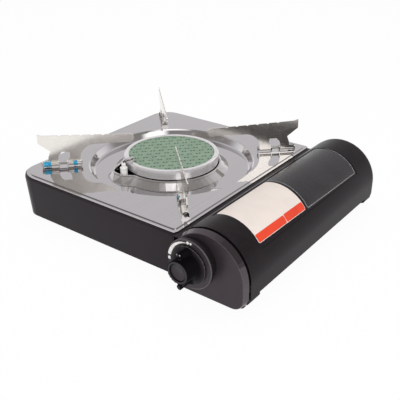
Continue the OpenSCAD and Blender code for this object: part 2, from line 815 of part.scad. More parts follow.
// Pair of small earthing tabs on the bright ring, next to the spark wire
module ground_tab() {
    color("#cfccc8") at_burner() for (turn = [-tab_turn, tab_turn])
        rotate(pocket_angle + turn)
            translate([bezel_r - tab_len, tab_w / 2, bezel_top]) rotate([90, 0, 0])
                linear_extrude(tab_w) polygon([
                    [tab_bend, 0], [tab_len, 0], [tab_len, tab_t], [tab_bend + tab_t, tab_t],
                    [tab_t, tab_rise], [0, tab_rise - tab_t / 2]
                ]);
}

// Tube along a list of points, with rings square to the run
module tube_along(points, r, sides) {
    last = len(points) - 1;
    rings = [for (i = [0 : last]) let (
            ahead = points[min(i + 1, last)] - points[max(i - 1, 0)],
            along = ahead / norm(ahead),
            wide = abs(along[2]) > 0.9 ? cross(along, [0, 1, 0]) : cross(along, [0, 0, 1]),
            side = wide / norm(wide),
            up = cross(side, along))
        for (k = [0 : sides - 1]) let (a = k * 360 / sides) points[i] + r * (cos(a) * side + sin(a) * up)];
    skin = [for (i = [0 : last - 1]) for (k = [0 : sides - 1]) let (n = (k + 1) % sides)
        each [
            [i * sides + k, i * sides + n, (i + 1) * sides + n],
            [i * sides + k, (i + 1) * sides + n, (i + 1) * sides + k]
        ]];
    ends = [[for (k = [sides - 1 : -1 : 0]) k], [for (k = [0 : sides - 1]) last * sides + k]];
    polyhedron(rings, concat(skin, ends));
}

module ignition_lead() {
    color("#8e1f1a") tube_along(lead_points, lead_r, lead_sides);
}

// Bright screen that keeps heat off the cartridge
module heat_shield() {
    x = bay_x - shield_gap;
    color("#b9b8b6") difference() {
        union() {
            translate([x, front_y + shield_inset, floor_top])
                cube([shield_sheet, tray_d - 2 * shield_inset, shield_top - floor_top]);
            translate([x - shield_foot, front_y + shield_inset, floor_top])
                cube([shield_foot + shield_sheet, tray_d - 2 * shield_inset, shield_sheet]);
        }
        translate([x - over, jet_y, mixer_z]) rotate([0, 90, 0])
            cylinder(r = elbow_r + shield_hole_gap, h = 2 * over + shield_sheet);
    }
}

// Trough under the cartridge, with a gutter beside the deck and a hem on its outer wall
module cartridge_trough() {
    color("#2b292c") difference() {
        at_bay() union() {
            run_back(cap_y + cap_rim, rear_y - rear_cap_t) {
                difference() {
                    trough_outline(-cover_r, trough_side, foot_h, trough_corner_r);
                    trough_inside();
                    translate([0, trough_wall_z]) square([cover_r, deck_z]);
                }
                translate([-cover_r, gutter_z - case_sheet]) square([gutter_w, case_sheet]);
                translate([trough_side - trough_hem_r, trough_wall_z]) circle(r = trough_hem_r, $fn = 24);
            }
            hinge_lug(cap_y + cap_rim);
        }
        for (spot = foot_spots) if (spot[0] > bay_x)
            translate([spot[0], spot[1], foot_h - over])
                cylinder(r = foot_neck_r + seat_fit, h = case_sheet + 2 * over);
        wall_holes();
    }
}

module trough_outline(x0, x1, z0, corner_r) {
    polygon(concat(
        [[x0, gutter_z], [x0, z0]],
        arc(x1 - corner_r, z0 + corner_r, corner_r, 270, 360, corner_steps),
        [[x1, gutter_z]]
    ));
}

module trough_inside() {
    trough_outline(case_sheet - cover_r, trough_side - case_sheet, floor_top, trough_corner_r - case_sheet);
}

// Ear that carries a hinge pin of the cover, joined to the trough's outer wall
module hinge_lug(y) {
    hinge = cover_hinge_x - axis_x;
    run_back(y, y + lug_t) difference() {
        union() {
            translate([hinge, cover_hinge_z]) circle(r = lug_r);
            translate([trough_side - case_sheet, cover_hinge_z - lug_r])
                square([hinge - trough_side + case_sheet, 2 * lug_r]);
            translate([trough_side - ear_drop_in, ear_drop_z]) circle(r = ear_drop_r);
        }
        translate([hinge, cover_hinge_z]) circle(r = cover_pin_r + seat_fit);
        trough_inside();
    }
}

// Bent rails that the cartridge lies on, with a stop at the rear
module cartridge_cradle() {
    half = cradle_w / 2;
    top = cartridge_z - sqrt(pow(cartridge_r + cradle_gap, 2) - half * half);
    color("#a3a2a0") at_bay() union() {
        run_back(cap_y + cradle_start, rear_y - rear_cap_t - cradle_end) polygon([
            [-half, floor_top], [half, floor_top], [half, top], [half - cradle_t, top - cradle_t],
            [half - cradle_t, floor_top + cradle_t], [cradle_t - half, floor_top + cradle_t],
            [cradle_t - half, top - cradle_t], [-half, top]
        ]);
        translate([-half, rear_y - rear_cap_t - cradle_end - cradle_t, floor_top])
            cube([cradle_w, cradle_t, cradle_stop_z]);
    }
}

// Upright plate that the regulator and the spark unit are fixed to
module regulator_plate() {
    color("#a3a2a0") at_bay() difference() {
        union() {
            run_back(bracket_plate_y, bracket_plate_y + plate_t) plate_outline();
            translate([-plate_half_w, bracket_plate_y, floor_top])
                cube([2 * plate_half_w, plate_t + plate_foot, plate_t]);
        }
        translate([-knob_shift, bracket_plate_y - over, knob_z]) rotate([-90, 0, 0])
            cylinder(r = stem_r + plate_hole_gap, h = plate_t + 2 * over);
    }
}

module plate_outline() {
    polygon(concat(
        [[-plate_half_w, floor_top], [plate_half_w, floor_top]],
        arc(plate_half_w - plate_corner_r, plate_top - plate_corner_r, plate_corner_r, 0, 90, corner_steps),
        arc(plate_corner_r - plate_half_w, plate_top - plate_corner_r, plate_corner_r, 90, 180, corner_steps)
    ));
}

// Die-cast pressure regulator with its outlet boss
module regulator_body() {
    y0 = bracket_plate_y + plate_t;
    color("#8f8d8b") difference() {
        at_bay() union() {
            translate([0, y0, cartridge_z]) rotate([-90, 0, 0]) rotate_extrude() polygon(concat(
                [[0, 0], [regulator_r - 2 * bevel, 0], [regulator_r, 2 * bevel]],
                [for (s = regulator_shares) [regulator_r * s[0], regulator_len * s[1]]],
                [[0, regulator_len]]
            ));
            translate([-regulator_foot_w / 2, y0, floor_top + plate_t])
                cube([regulator_foot_w, stem_depth, cartridge_z - floor_top - plate_t]);
            translate([-regulator_r - outlet_len, jet_y, mixer_z]) rotate([0, 90, 0])
                cylinder(r = outlet_r, h = regulator_r);
        }
        at_bay() translate([-knob_shift, y0 - over, knob_z]) rotate([-90, 0, 0])
            cylinder(r = stem_r + run_fit, h = stem_depth + over);
    }
}

// Ring that the cartridge's collar is pushed into, with its gas tip
module cartridge_socket() {
    y0 = bracket_plate_y + plate_t + regulator_len;
    color("#b9b6b2") at_bay() translate([0, y0, cartridge_z]) rotate([-90, 0, 0]) {
        difference() {
            cylinder(r = socket_r, h = socket_len);
            translate([0, 0, plate_t]) cylinder(r = socket_bore_r, h = socket_len);
            for (turn = [0, 120, 240]) rotate(turn)
                translate([socket_bore_r - over, -socket_lug_w / 2, plate_t])
                    cube([2 * over + plate_t, socket_lug_w, socket_len]);
        }
        rotate_extrude() polygon([[0, 0], [tip_r, 0], [tip_r, plate_t + tip_len / 2],
            [tip_r / 2, plate_t + tip_len / 2], [tip_r / 2, plate_t + tip_len], [0, plate_t + tip_len]]);
    }
}

// Spark unit under the cam, with the well for its plunger and the socket of the lead
module spark_unit() {
    color("#3a3836") translate([spark_x, spark_y, 0]) difference() {
        union() {
            translate([-spark_w / 2, bracket_plate_y - spark_y - spark_w, spark_top - spark_h])
                cube([spark_w, spark_w, spark_h]);
            translate([-spark_w / 2 - spark_socket_len, 0, spark_socket_z]) rotate([0, 90, 0])
                cylinder(r = spark_socket_r, h = spark_socket_len + over);
        }
        translate([0, 0, spark_top - spark_well]) cylinder(r = plunger_r + run_fit, h = spark_well + over);
    }
}

// Sprung plunger of the spark unit
module spark_plunger() {
    color("#d8d4cc") translate([spark_x, spark_y, plunger_top - spark_well]) rotate_extrude($fn = 32)
        polygon([
            [0, 0], [plunger_r, 0], [plunger_r, spark_well - bevel], [plunger_r - bevel, spark_well],
            [0, spark_well]
        ]);
}

// Cam in x and z, rising over the knob's turn from the lowest point on and then falling back
function cam_outline() = concat(
    [for (i = [0 : cam_steps]) let (a = cam_low - cam_turn * i / cam_steps)
        (cam_r + plunger_travel * i / cam_steps) * [cos(a), sin(a)]],
    arc(0, 0, cam_r, cam_low - cam_turn - cam_return, cam_low - cam_close, arc_steps)
);

// Stem from the knob into the regulator, with the cam that presses the spark unit's plunger
module valve_stem() {
    y0 = cap_y - dial_h - move_gap - hub_depth + seat_fit;
    y1 = bracket_plate_y + plate_t + stem_depth - move_gap;
    color("#b9955a") at_bay() translate([-knob_shift, 0, knob_z]) {
        translate([0, y0, 0]) rotate([-90, 0, 0]) cylinder(r = stem_r, h = y1 - y0);
        run_back(cam_y, cam_y + cam_t) polygon(cam_outline());
    }
}

// Knob with a round skirt, a ridged grip and a bar across it
module knob() {
    y0 = cap_y - dial_h - move_gap;
    color("#3b393b") at_bay() translate([-knob_shift, y0, knob_z]) rotate([90, 0, 0]) difference() {
        union() {
            rotate_extrude($fn = 96) polygon([
                [0, 0], [knob_r - skirt_edge / 2, 0], [knob_r, skirt_edge / 2],
                [knob_r, skirt_h - skirt_edge / 2], [knob_r - skirt_edge / 2, skirt_h], [0, skirt_h]
            ]);
            grip();
            bar();
        }
        translate([0, 0, -over]) cylinder(r = stem_r + seat_fit, h = hub_depth + over);
    }
}

// Ridged drum with a raised rim round its hollowed front
module grip() {
    top = skirt_h + grip_h;
    hollow_r = grip_r - grip_rim;
    step = 180 / ridge_count;
    difference() {
        linear_extrude(top) polygon([for (i = [0 : 2 * ridge_count - 1])
            (grip_r + (i % 2) * ridge_h) * [cos(i * step), sin(i * step)]]);
        rotate_extrude() polygon([
            [0, top - grip_recess], [hollow_r - grip_recess, top - grip_recess],
            [hollow_r + over, top + over], [0, top + over]
        ]);
    }
}

// Bar with round ends that stand out of the grip above and below, the upper one with a pointer
module bar() {
    half = (bar_len - bar_w) / 2;
    top = skirt_h + grip_h - bar_drop;
    for (side = [-1, 1]) translate([0, side * half, 0]) cylinder(r = bar_w / 2, h = top, $fn = 32);
    translate([-bar_w / 2, -half, 0]) cube([bar_w, 2 * half, top - grip_recess]);
    translate([-pointer_w / 2, half + bar_w / 2 - pointer_len, top - pointer_t])
        cube([pointer_w, pointer_len - bevel / 2, 2 * pointer_t]);
}

// Fixed ring behind the knob, with an undercut neck
module dial_ring() {
    color("#4a4649") at_bay() translate([-knob_shift, cap_y, knob_z]) rotate([90, 0, 0])
        rotate_extrude($fn = 96) polygon([
            [dial_bore_r, 0], [dial_neck_r, 0], [dial_neck_r, dial_neck_h - bevel],
            [dial_r - dial_edge / 2, dial_neck_h], [dial_r, dial_neck_h + dial_edge],
            [dial_r, dial_h - dial_edge], [dial_r - dial_edge, dial_h], [dial_bore_r, dial_h]
        ]);
}

// Dished cap whose rim widens to the rear, with a lip that runs under the cover
module front_cap() {
    face_r = cap_r - cap_taper;
    edge = cap_wall / 4;
    color("#484145") at_bay() difference() {
        union() {
            hull() {
                run_back(cap_y, cap_y + slice) polygon(cap_outline(face_r - edge, foot_h + edge));
                run_back(cap_y + edge, cap_y + edge + slice) polygon(cap_outline(face_r, foot_h));
                run_back(cap_y + cap_rim - slice, cap_y + cap_rim) polygon(cap_outline(cap_r, foot_h));
            }
            run_back(cap_y + cap_wall, cap_y + cap_rim + cap_lip_len) lip_outline();
        }
        difference() {
            run_back(cap_y + cap_wall, cap_y + cap_rim + over)
                polygon(cap_outline(face_r - cap_wall, foot_h + cap_wall));
            run_back(cap_y, cap_y + cap_rim + 2 * over) lip_outline();
        }
        translate([-knob_shift, cap_y - over, knob_z]) rotate([-90, 0, 0])
            cylinder(r = dial_bore_r, h = cap_wall + 2 * over);
    }
}

// Upper arc of the lip under the cover, in x and z
module lip_outline() {
    r = cover_r - cover_hem - move_gap;
    translate([0, cover_axis_z]) polygon(band(r - cap_lip_t, r, cap_lip_start, cap_lip_stop));
}

// Rear end of the bay
module rear_cap() {
    y0 = rear_y - rear_cap_t;
    color("#2b292c") at_bay() difference() {
        union() {
            run_back(y0, rear_y) polygon(cap_outline(cap_r, foot_h));
            run_back(y0 - rear_lip_len, y0 + cap_wall) lip_outline();
        }
        for (side = [-1, 1]) translate([side * cap_screw_x, y0 - over, cap_screw_z]) rotate([-90, 0, 0])
            cylinder(r = screw_r + seat_fit, h = rear_cap_t + 2 * over);
        translate([cover_hinge_x - axis_x, y0 - over, cover_hinge_z]) rotate([-90, 0, 0])
            cylinder(r = cover_pin_r + seat_fit, h = rear_cap_t + 2 * over);
    }
}

// Round cover with a pressed panel, a hem at its free edge and two hinge knuckles
module cartridge_cover() {
    hinge = cover_hinge_x - axis_x;
    skirt_low = cover_hinge_z + cover_knuckle_r / 2;
    color("#353336") at_bay() difference() {
        union() {
            difference() {
                run_back(cover_y0, cover_y1) {
                    translate([0, cover_axis_z])
                        polygon(band(cover_r - cover_sheet, cover_r, cover_low, cover_left_angle));
                    translate([cover_r - cover_sheet, skirt_low])
                        square([cover_sheet, cover_axis_z - skirt_low]);
                    translate([0, cover_axis_z]) polygon(band(cover_r - cover_hem, cover_r - cover_sheet / 2,
                        cover_left_angle - cover_hem_angle, cover_left_angle));
                }
                panel(cover_r - panel_depth, cover_r + over, 0);
            }
            panel(cover_r - panel_depth - cover_sheet, cover_r - panel_depth, panel_wall_angle);
            for (y = [cover_y0, cover_y1 - cover_knuckle_len]) run_back(y, y + cover_knuckle_len) {
                translate([hinge, cover_hinge_z]) circle(r = cover_knuckle_r);
                translate([cover_r - cover_sheet, cover_hinge_z]) square([cover_sheet, cover_knuckle_r]);
            }
        }
        translate([hinge, cover_y0 - over, cover_hinge_z]) rotate([-90, 0, 0])
            cylinder(r = cover_pin_r + run_fit, h = cover_y1 - cover_y0 + 2 * over);
    }
}

// Curved slab over the area of the cover's panel, widened by an angle at each side
module panel(r0, r1, extra) {
    widen = extra * cover_r * PI / 180;
    run_back(cover_y0 + panel_start - widen, cover_y1 - panel_end + widen)
        translate([0, cover_axis_z]) polygon(band(r0, r1, panel_low_angle - extra, panel_high_angle + extra));
}

module cover_hinge_pins() {
    color("#b5b2af") for (y = [cap_y + cap_rim, rear_y - pin_len])
        translate([cover_hinge_x, y, cover_hinge_z]) rotate([-90, 0, 0])
            cylinder(r = cover_pin_r, h = pin_len);
}

// Puts a piece on its diagonal, with x along it and y towards the side that a support folds to
module on_diagonal(k) {
    translate([burner_x, burner_y, deck_z]) rotate(support_turns[k])
        mirror([0, support_sides[k] < 0 ? 1 : 0, 0]) children();
}

// Outline of a pan support: x along the diagonal, y up from the deck
module support_outline() {
    blade_low = support_rise * blade_drop_share;
    inner_top = support_rise * blade_top_share;
    root = support_rise * hook_root_share;
    nose = (inner_top - blade_low) / 2;
    neck = support_rise * neck_top_share;
    leg = hinge_end - leg_in;
    curl = hinge_rise + knuckle_r;
    leg_curve = blade_low - curl;
    window_low = curl + window_bevel;
    difference() {
        polygon(concat(
            arc(support_tip + nose, blade_low + nose, nose, 270, 90, corner_steps),
            [
                [support_hook - hook_w, root], [support_hook - hook_point, support_rise - notch_depth / 3],
                [support_hook, support_rise], [support_hook, support_rise * hook_foot_share],
                [leg - neck_in, neck], [leg, neck * neck_share], [leg, curl + bevel],
                [outer_knuckle_end, curl - bevel / 2], [outer_knuckle_end, hinge_rise],
                [outer_knuckle_start, hinge_rise], [outer_knuckle_start, curl + bevel],
                [outer_knuckle_start - bevel, window_rise - window_bevel],
                [outer_knuckle_start - bevel - window_bevel, window_rise],
                [inner_knuckle_end - window_in + bevel, window_rise],
                [inner_knuckle_end - window_in, window_rise - bevel],
                [inner_knuckle_end - window_in, window_low], [inner_knuckle_end, curl + bevel / 2],
                [inner_knuckle_end, hinge_rise], [inner_knuckle_start, hinge_rise]
            ],
            arc(inner_knuckle_start - leg_curve, blade_low - leg_curve, leg_curve, 0, 90, corner_steps)
        ));
        for (i = [0 : notch_count - 1]) let (x = notch_first + i * notch_pitch)
            translate([x, inner_top - notch_depth + (x - support_tip - nose)
                * (root - inner_top) / (support_hook - hook_w - support_tip - nose)])
                polygon([
                    [-notch_w / 4, 0], [notch_w / 4, 0],
                    [notch_w, 2 * notch_depth], [-notch_w, 2 * notch_depth]
                ]);
    }
}

// Folding pan support, curled round its rod at two knuckles
module support(k) {
    color("#cbc8c4") on_diagonal(k) difference() {
        union() {
            translate([0, support_sheet / 2, 0]) rotate([90, 0, 0])
                linear_extrude(support_sheet) support_outline();
            for (reach = [[inner_knuckle_start, inner_knuckle_end], [outer_knuckle_start, outer_knuckle_end]])
                translate([reach[0], sheet_shift, hinge_rise]) rotate([0, 90, 0])
                    cylinder(r = knuckle_r, h = reach[1] - reach[0], $fn = 32);
        }
        translate([hinge_start, sheet_shift, hinge_rise]) rotate([0, 90, 0])
            cylinder(r = rod_r + run_fit, h = hinge_end - hinge_start, $fn = 32);
    }
}

// Strip on the deck with an upright ear on both sides of each knuckle
module support_bracket(k) {
    color("#b9b6b3") on_diagonal(k) difference() {
        union() {
            translate([hinge_start, sheet_shift - bracket_strip_w / 2, 0])
                cube([hinge_end - hinge_start, bracket_strip_w, bracket_strip_t]);
            for (x = ear_places) translate([x, sheet_shift, 0]) rotate([90, 0, 90])
                linear_extrude(ear_t) polygon(concat(
                    [[-ear_foot / 2, 0], [ear_foot / 2, 0]],
                    arc(0, hinge_rise, ear_r, 0, 180, corner_steps)));
        }
        translate([hinge_start - over, sheet_shift, hinge_rise]) rotate([0, 90, 0])
            cylinder(r = rod_r + seat_fit, h = hinge_end - hinge_start + 2 * over, $fn = 32);
    }
}

// Hinge rod with an upset head at each end
module support_rod(k) {
    color("#9d9a97") on_diagonal(k) translate([hinge_start - rod_head_t, sheet_shift, hinge_rise])
        rotate([0, 90, 0]) {
            cylinder(r = rod_head_r, h = rod_head_t, $fn = 32);
            cylinder(r = rod_r, h = hinge_end - hinge_start + 2 * rod_head_t, $fn = 32);
            translate([0, 0, hinge_end - hinge_start + rod_head_t])
                cylinder(r = rod_head_r, h = rod_head_t, $fn = 32);
        }
}

// Feet with a barbed stud that snaps into the floor
module rubber_feet() {
    color("#1d1c1d") for (spot = foot_spots) translate([spot[0], spot[1], 0])
        rotate_extrude($fn = 32) polygon([
            [0, 0], [foot_r - foot_bevel, 0], [foot_r, foot_bevel], [foot_r, foot_h], [foot_neck_r, foot_h],
            [foot_neck_r, floor_top], [foot_barb_r, floor_top],
            [foot_neck_r - bevel, floor_top + foot_barb_h], [0, floor_top + foot_barb_h]
        ]);
}

// Pan-head screw along +z, with its head below the origin
module screw() {
    rotate_extrude($fn = 32) polygon([
        [0, -screw_head_h], [screw_head_r * screw_neck_share, -screw_head_h],
        [screw_head_r, -screw_head_h / 3], [screw_head_r, 0], [screw_r, 0],
        [screw_r, screw_len - bevel], [screw_r - bevel / 2, screw_len],
        [0, screw_len]
    ]);
}

module stand_screws() {
    color("#8b8986") for (spot = stand_spots) translate([spot[0], spot[1], foot_h]) screw();
}

module cap_screws() {
    color("#8b8986") at_bay() for (side = [-1, 1])
        translate([side * cap_screw_x, rear_y, cap_screw_z]) rotate([90, 0, 0]) screw();
}

burner_tray();
deck_plate();
wind_collar();
burner_bowl();
bezel_ring();
ceramic_plate();
ceramic_gasket();
gas_diffuser();
burner_stand();
mixing_tube();
gas_jet();
gas_pipe();
igniter_insulator();
igniter_wire();
igniter_bracket();
ground_tab();
ignition_lead();
heat_shield();
cartridge_trough();
cartridge_cradle();
regulator_plate();
regulator_body();
cartridge_socket();
spark_unit();
spark_plunger();
valve_stem();
knob();
dial_ring();
front_cap();
rear_cap();
cartridge_cover();
cover_hinge_pins();
support_bracket(0);  // bracket_front_left
support_bracket(1);  // bracket_front_right
support_bracket(2);  // bracket_rear_right
support_bracket(3);  // bracket_rear_left
support_rod(0);  // rod_front_left
support_rod(1);  // rod_front_right
support_rod(2);  // rod_rear_right
support_rod(3);  // rod_rear_left
support(0);  // support_front_left
support(1);  // support_front_right
support(2);  // support_rear_right
support(3);  // support_rear_left
rubber_feet();
stand_screws();
cap_screws();
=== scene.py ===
"""Looks of the portable infrared stove: finishes, printed fields, small trim, camera and light.

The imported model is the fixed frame. Lengths are metres in the frame of that model, and tables whose
docstring says so are in millimetres.
"""

import json
import logging
import math
from collections.abc import Callable
from dataclasses import dataclass
from enum import Enum

import bmesh
import bpy
from mathutils import Matrix, Vector


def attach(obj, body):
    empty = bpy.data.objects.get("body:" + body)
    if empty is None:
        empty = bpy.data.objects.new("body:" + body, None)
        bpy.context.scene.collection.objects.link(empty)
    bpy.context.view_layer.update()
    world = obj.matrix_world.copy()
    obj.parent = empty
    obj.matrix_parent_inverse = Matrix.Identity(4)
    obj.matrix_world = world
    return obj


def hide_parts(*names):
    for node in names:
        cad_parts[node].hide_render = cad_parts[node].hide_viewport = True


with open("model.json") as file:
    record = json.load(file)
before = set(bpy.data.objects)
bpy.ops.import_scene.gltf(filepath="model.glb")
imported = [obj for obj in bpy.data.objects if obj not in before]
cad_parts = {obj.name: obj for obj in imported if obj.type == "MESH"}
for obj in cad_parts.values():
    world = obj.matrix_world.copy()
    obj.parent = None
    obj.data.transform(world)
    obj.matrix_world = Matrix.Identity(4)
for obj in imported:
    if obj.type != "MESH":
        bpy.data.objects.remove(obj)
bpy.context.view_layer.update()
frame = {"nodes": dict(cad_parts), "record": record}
MM = 0.001
MERGE = 1e-6
log = logging.getLogger("stove")

Pair = tuple[float, float]
Triple = tuple[float, float, float]
Colour = Triple
Piece = bpy.types.Object
Socket = bpy.types.NodeSocket
Node = bpy.types.ShaderNode
Value = Socket | Colour | float


class Body(Enum):
    """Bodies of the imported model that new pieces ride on."""

    BASE = "base"
    COVER = "cover"
    KNOB = "knob"


# ---------------------------------------------------------------- shader groups


class Graph:
    """Adds and joins the nodes of one shader tree."""

    def __init__(self, tree: bpy.types.NodeTree) -> None:
        """Starts with an empty tree."""
        self.tree = tree
        tree.nodes.clear()

    def add(self, kind: str, **settings: object) -> Node:
        """Adds a node.

        Args:
            kind: Type name without its ShaderNode prefix.
            settings: Properties of the node, such as an operation.

        Returns:
            The new node.
        """
        prefix = "" if kind.startswith("NodeGroup") else "ShaderNode"
        node = self.tree.nodes.new(prefix + kind)
        for name, value in settings.items():
            setattr(node, name, value)
        return node

    def join(self, source: Value, target: Socket) -> None:
        """Joins an output to an input, or gives the input a fixed number or colour."""
        if isinstance(source, Socket):
            self.tree.links.new(source, target)
        else:
            target.default_value = (*source, 1.0) if isinstance(source, tuple) else source

    def feed(self, node: Node, **values: Value) -> Node:
        """Joins or sets inputs of a node.

        Args:
            node: The node.
            values: Its inputs, in lower case.

        Returns:
            The node.
        """
        for label, value in values.items():
            self.join(value, node.inputs[label.capitalize()])
        return node

    def axes(self, kind: str) -> bpy.types.bpy_prop_collection:
        """X, Y and Z of a kind of texture coordinate."""
        parts = self.add("SeparateXYZ")
        self.join(self.add("TexCoord").outputs[kind], parts.inputs[0])
        return parts.outputs

    def blended(self, mask: Socket, a: Node, b: Node) -> Socket:
        """Blends two shaders by a mask."""
        node = self.add("MixShader")
        for source, target in zip((mask, a.outputs[0], b.outputs[0]), node.inputs):
            self.join(source, target)
        return node.outputs[0]

    def math(self, operation: str, a: Value, b: Value = 0.0, clamp: bool = False) -> Socket:
        """Adds a Math node.

        Args:
            operation: Blender's name of the operation.
            a: First input, a socket or a number.
            b: Second input, a socket or a number.
            clamp: True to keep the result between 0 and 1.

        Returns:
            The result.
        """
        node = self.add("Math", operation=operation, use_clamp=clamp)
        self.join(a, node.inputs[0])
        self.join(b, node.inputs[1])
        return node.outputs[0]

    def ranged(self, value: Socket, low: float, high: float, to_low: Value, to_high: Value) -> Socket:
        """Maps a value from one range to another, smoothly and clamped.

        Args:
            value: The value to map.
            low: Start of its range.
            high: End of its range.
            to_low: Result at the start.
            to_high: Result at the end.

        Returns:
            The mapped value.
        """
        node = self.add("MapRange", interpolation_type="SMOOTHSTEP")
        for source, target in zip((value, low, high, to_low, to_high), node.inputs):
            self.join(source, target)
        return node.outputs[0]

    def mixed(self, mask: Socket, a: Value, b: Value) -> Socket:
        """Mixes two colours.

        Args:
            mask: Share of the second colour.
            a: First colour.
            b: Second colour.

        Returns:
            The mixed colour.
        """
        node = self.add("Mix", data_type="RGBA")
        self.join(mask, node.inputs["Factor"])
        self.join(a, node.inputs[6])
        self.join(b, node.inputs[7])
        return node.outputs[2]

    def place(self, scale: Value, stretch: Triple = (1.0, 1.0, 1.0)) -> Socket:
        """Object coordinates times a scale, stretched along the axes.

        Args:
            scale: Cells per metre.
            stretch: Factor for each axis.

        Returns:
            The scaled place.
        """
        where = self.add("TexCoord").outputs["Object"]
        if stretch != (1.0, 1.0, 1.0):
            mapping = self.add("Mapping")
            mapping.inputs["Scale"].default_value = stretch
            self.join(where, mapping.inputs["Vector"])
            where = mapping.outputs[0]
        node = self.add("VectorMath", operation="SCALE")
        self.join(where, node.inputs[0])
        self.join(scale, node.inputs["Scale"])
        return node.outputs[0]

    def noise(self, place: Socket, detail: float = 3.0, roughness: float = 0.5) -> Socket:
        """Noise at a place.

        Args:
            place: Where to read it, in cells.
            detail: Number of finer layers.
            roughness: Weight of the finer layers.

        Returns:
            The noise value, from 0 to 1.
        """
        noise = self.feed(self.add("TexNoise"), vector=place, scale=1.0, detail=detail, roughness=roughness)
        return noise.outputs[0]


class EffectGroup:
    """A shader node group with named inputs and outputs, built once and used by many finishes."""

    def __init__(self, name: str, inputs: tuple[str, ...], outputs: tuple[str, ...]) -> None:
        """Makes the group's tree and its sockets.

        Args:
            name: Name of the group.
            inputs: Names of the inputs, which every use gives.
            outputs: Names of the outputs.
        """
        self.tree = bpy.data.node_groups.new(name, "ShaderNodeTree")
        for way, labels in (("INPUT", inputs), ("OUTPUT", outputs)):
            for label in labels:
                self.tree.interface.new_socket(label, in_out=way, socket_type="NodeSocketFloat")
        self.graph = Graph(self.tree)
        self.source = self.graph.add("NodeGroupInput")
        self.sink = self.graph.add("NodeGroupOutput")

    def value(self, label: str) -> Socket:
        """An input of the group, as seen inside it."""
        return self.source.outputs[label]

    def give(self, label: str, value: Socket) -> None:
        """Joins a value to an output of the group."""
        self.graph.join(value, self.sink.inputs[label])


class Effects:
    """The effects that the finishes share."""

    def __init__(self) -> None:
        """Builds every group."""
        self.handling = self._handling()
        self.grain = self._grain()
        self.brushing = self._brushing()
        self.dust = self._dust()
        self.holes = self._holes()

    def _handling(self) -> EffectGroup:
        """Cloudy smears that hands and wiping leave on a smooth surface."""
        group = EffectGroup("handling_smears", ("Scale", "Low", "High"), ("Roughness", "Mask"))
        g = group.graph
        cloud = g.noise(g.place(group.value("Scale")), 4.0, 0.6)
        mask = g.ranged(cloud, 0.38, 0.66, 0.0, 1.0)
        fine = g.noise(g.place(2600.0), 2.0)
        both = g.math("ADD", g.math("MULTIPLY", mask, 0.8), g.math("MULTIPLY", fine, 0.2), True)
        spread = g.math("SUBTRACT", group.value("High"), group.value("Low"))
        group.give("Roughness", g.math("ADD", group.value("Low"), g.math("MULTIPLY", spread, both)))
        group.give("Mask", both)
        return group

    def _grain(self) -> EffectGroup:
        """Fine pebbled grain of enamel, plastic and castings."""
        group = EffectGroup("surface_grain", ("Scale", "Coarse"), ("Height", "Mask"))
        g = group.graph
        fine = g.noise(g.place(group.value("Scale")), 2.0)
        wide = g.noise(g.place(g.math("MULTIPLY", group.value("Scale"), 0.12)), 3.0)
        kept = g.math("MULTIPLY", wide, group.value("Coarse"))
        group.give("Height", g.math("ADD", fine, kept))
        group.give("Mask", g.ranged(fine, 0.45, 0.62, 0.0, 1.0))
        return group

    def _brushing(self) -> EffectGroup:
        """Long fine lines of rolled sheet, along Y."""
        group = EffectGroup("rolled_lines", ("Scale",), ("Height", "Mask"))
        g = group.graph
        lines = g.noise(g.place(group.value("Scale"), (1.0, 0.012, 1.0)), 3.0, 0.7)
        clouds = g.noise(g.place(30.0, (1.0, 0.25, 1.0)), 3.0)
        group.give("Height", lines)
        group.give("Mask", g.math("MULTIPLY", g.ranged(lines, 0.4, 0.6, 0.0, 1.0), clouds))
        return group

    def _dust(self) -> EffectGroup:
        """Thin dust that settles on faces that look up."""
        group = EffectGroup("settled_dust", ("Amount",), ("Mask",))
        g = group.graph
        upward = g.ranged(g.axes("Normal")["Z"], 0.2, 0.95, 0.0, 1.0)
        cloud = g.ranged(g.noise(g.place(160.0), 5.0, 0.65), 0.42, 0.7, 0.0, 1.0)
        mask = g.math("MULTIPLY", g.math("MULTIPLY", upward, cloud), group.value("Amount"), True)
        group.give("Mask", mask)
        return group

    def _holes(self) -> EffectGroup:
        """Staggered rows of round holes, seen from above; 1 inside a hole."""
        inputs = ("Pitch", "Radius", "Soft", "Turn", "Across", "Along")
        group = EffectGroup("hole_rows", inputs, ("Mask",))
        g = group.graph
        where = g.axes("Object")
        x = g.math("SUBTRACT", where["X"], group.value("Across"))
        y = g.math("SUBTRACT", where["Y"], group.value("Along"))
        cos, sin = g.math("COSINE", group.value("Turn")), g.math("SINE", group.value("Turn"))
        row = g.math("ADD", g.math("MULTIPLY", x, cos), g.math("MULTIPLY", y, sin))
        column = g.math("SUBTRACT", g.math("MULTIPLY", y, cos), g.math("MULTIPLY", x, sin))
        u = g.math("DIVIDE", row, group.value("Pitch"))
        v = g.math("DIVIDE", column, g.math("MULTIPLY", group.value("Pitch"), math.sqrt(3.0)))
        masks = []
        for shift in (0.0, 0.5):
            du = g.math("SUBTRACT", g.math("FRACT", g.math("ADD", u, shift + 100.5)), 0.5)
            dv = g.math("SUBTRACT", g.math("FRACT", g.math("ADD", v, shift + 100.5)), 0.5)
            dv = g.math("MULTIPLY", dv, math.sqrt(3.0))
            squared = g.math("ADD", g.math("MULTIPLY", du, du), g.math("MULTIPLY", dv, dv))
            reach = g.math("SUBTRACT", g.math("SQRT", squared), group.value("Radius"))
            masks.append(g.math("SUBTRACT", 1.0, g.math("DIVIDE", reach, group.value("Soft")), True))
        group.give("Mask", g.math("MAXIMUM", masks[0], masks[1]))
        return group


EFFECTS = Effects()


# ---------------------------------------------------------------- finishes


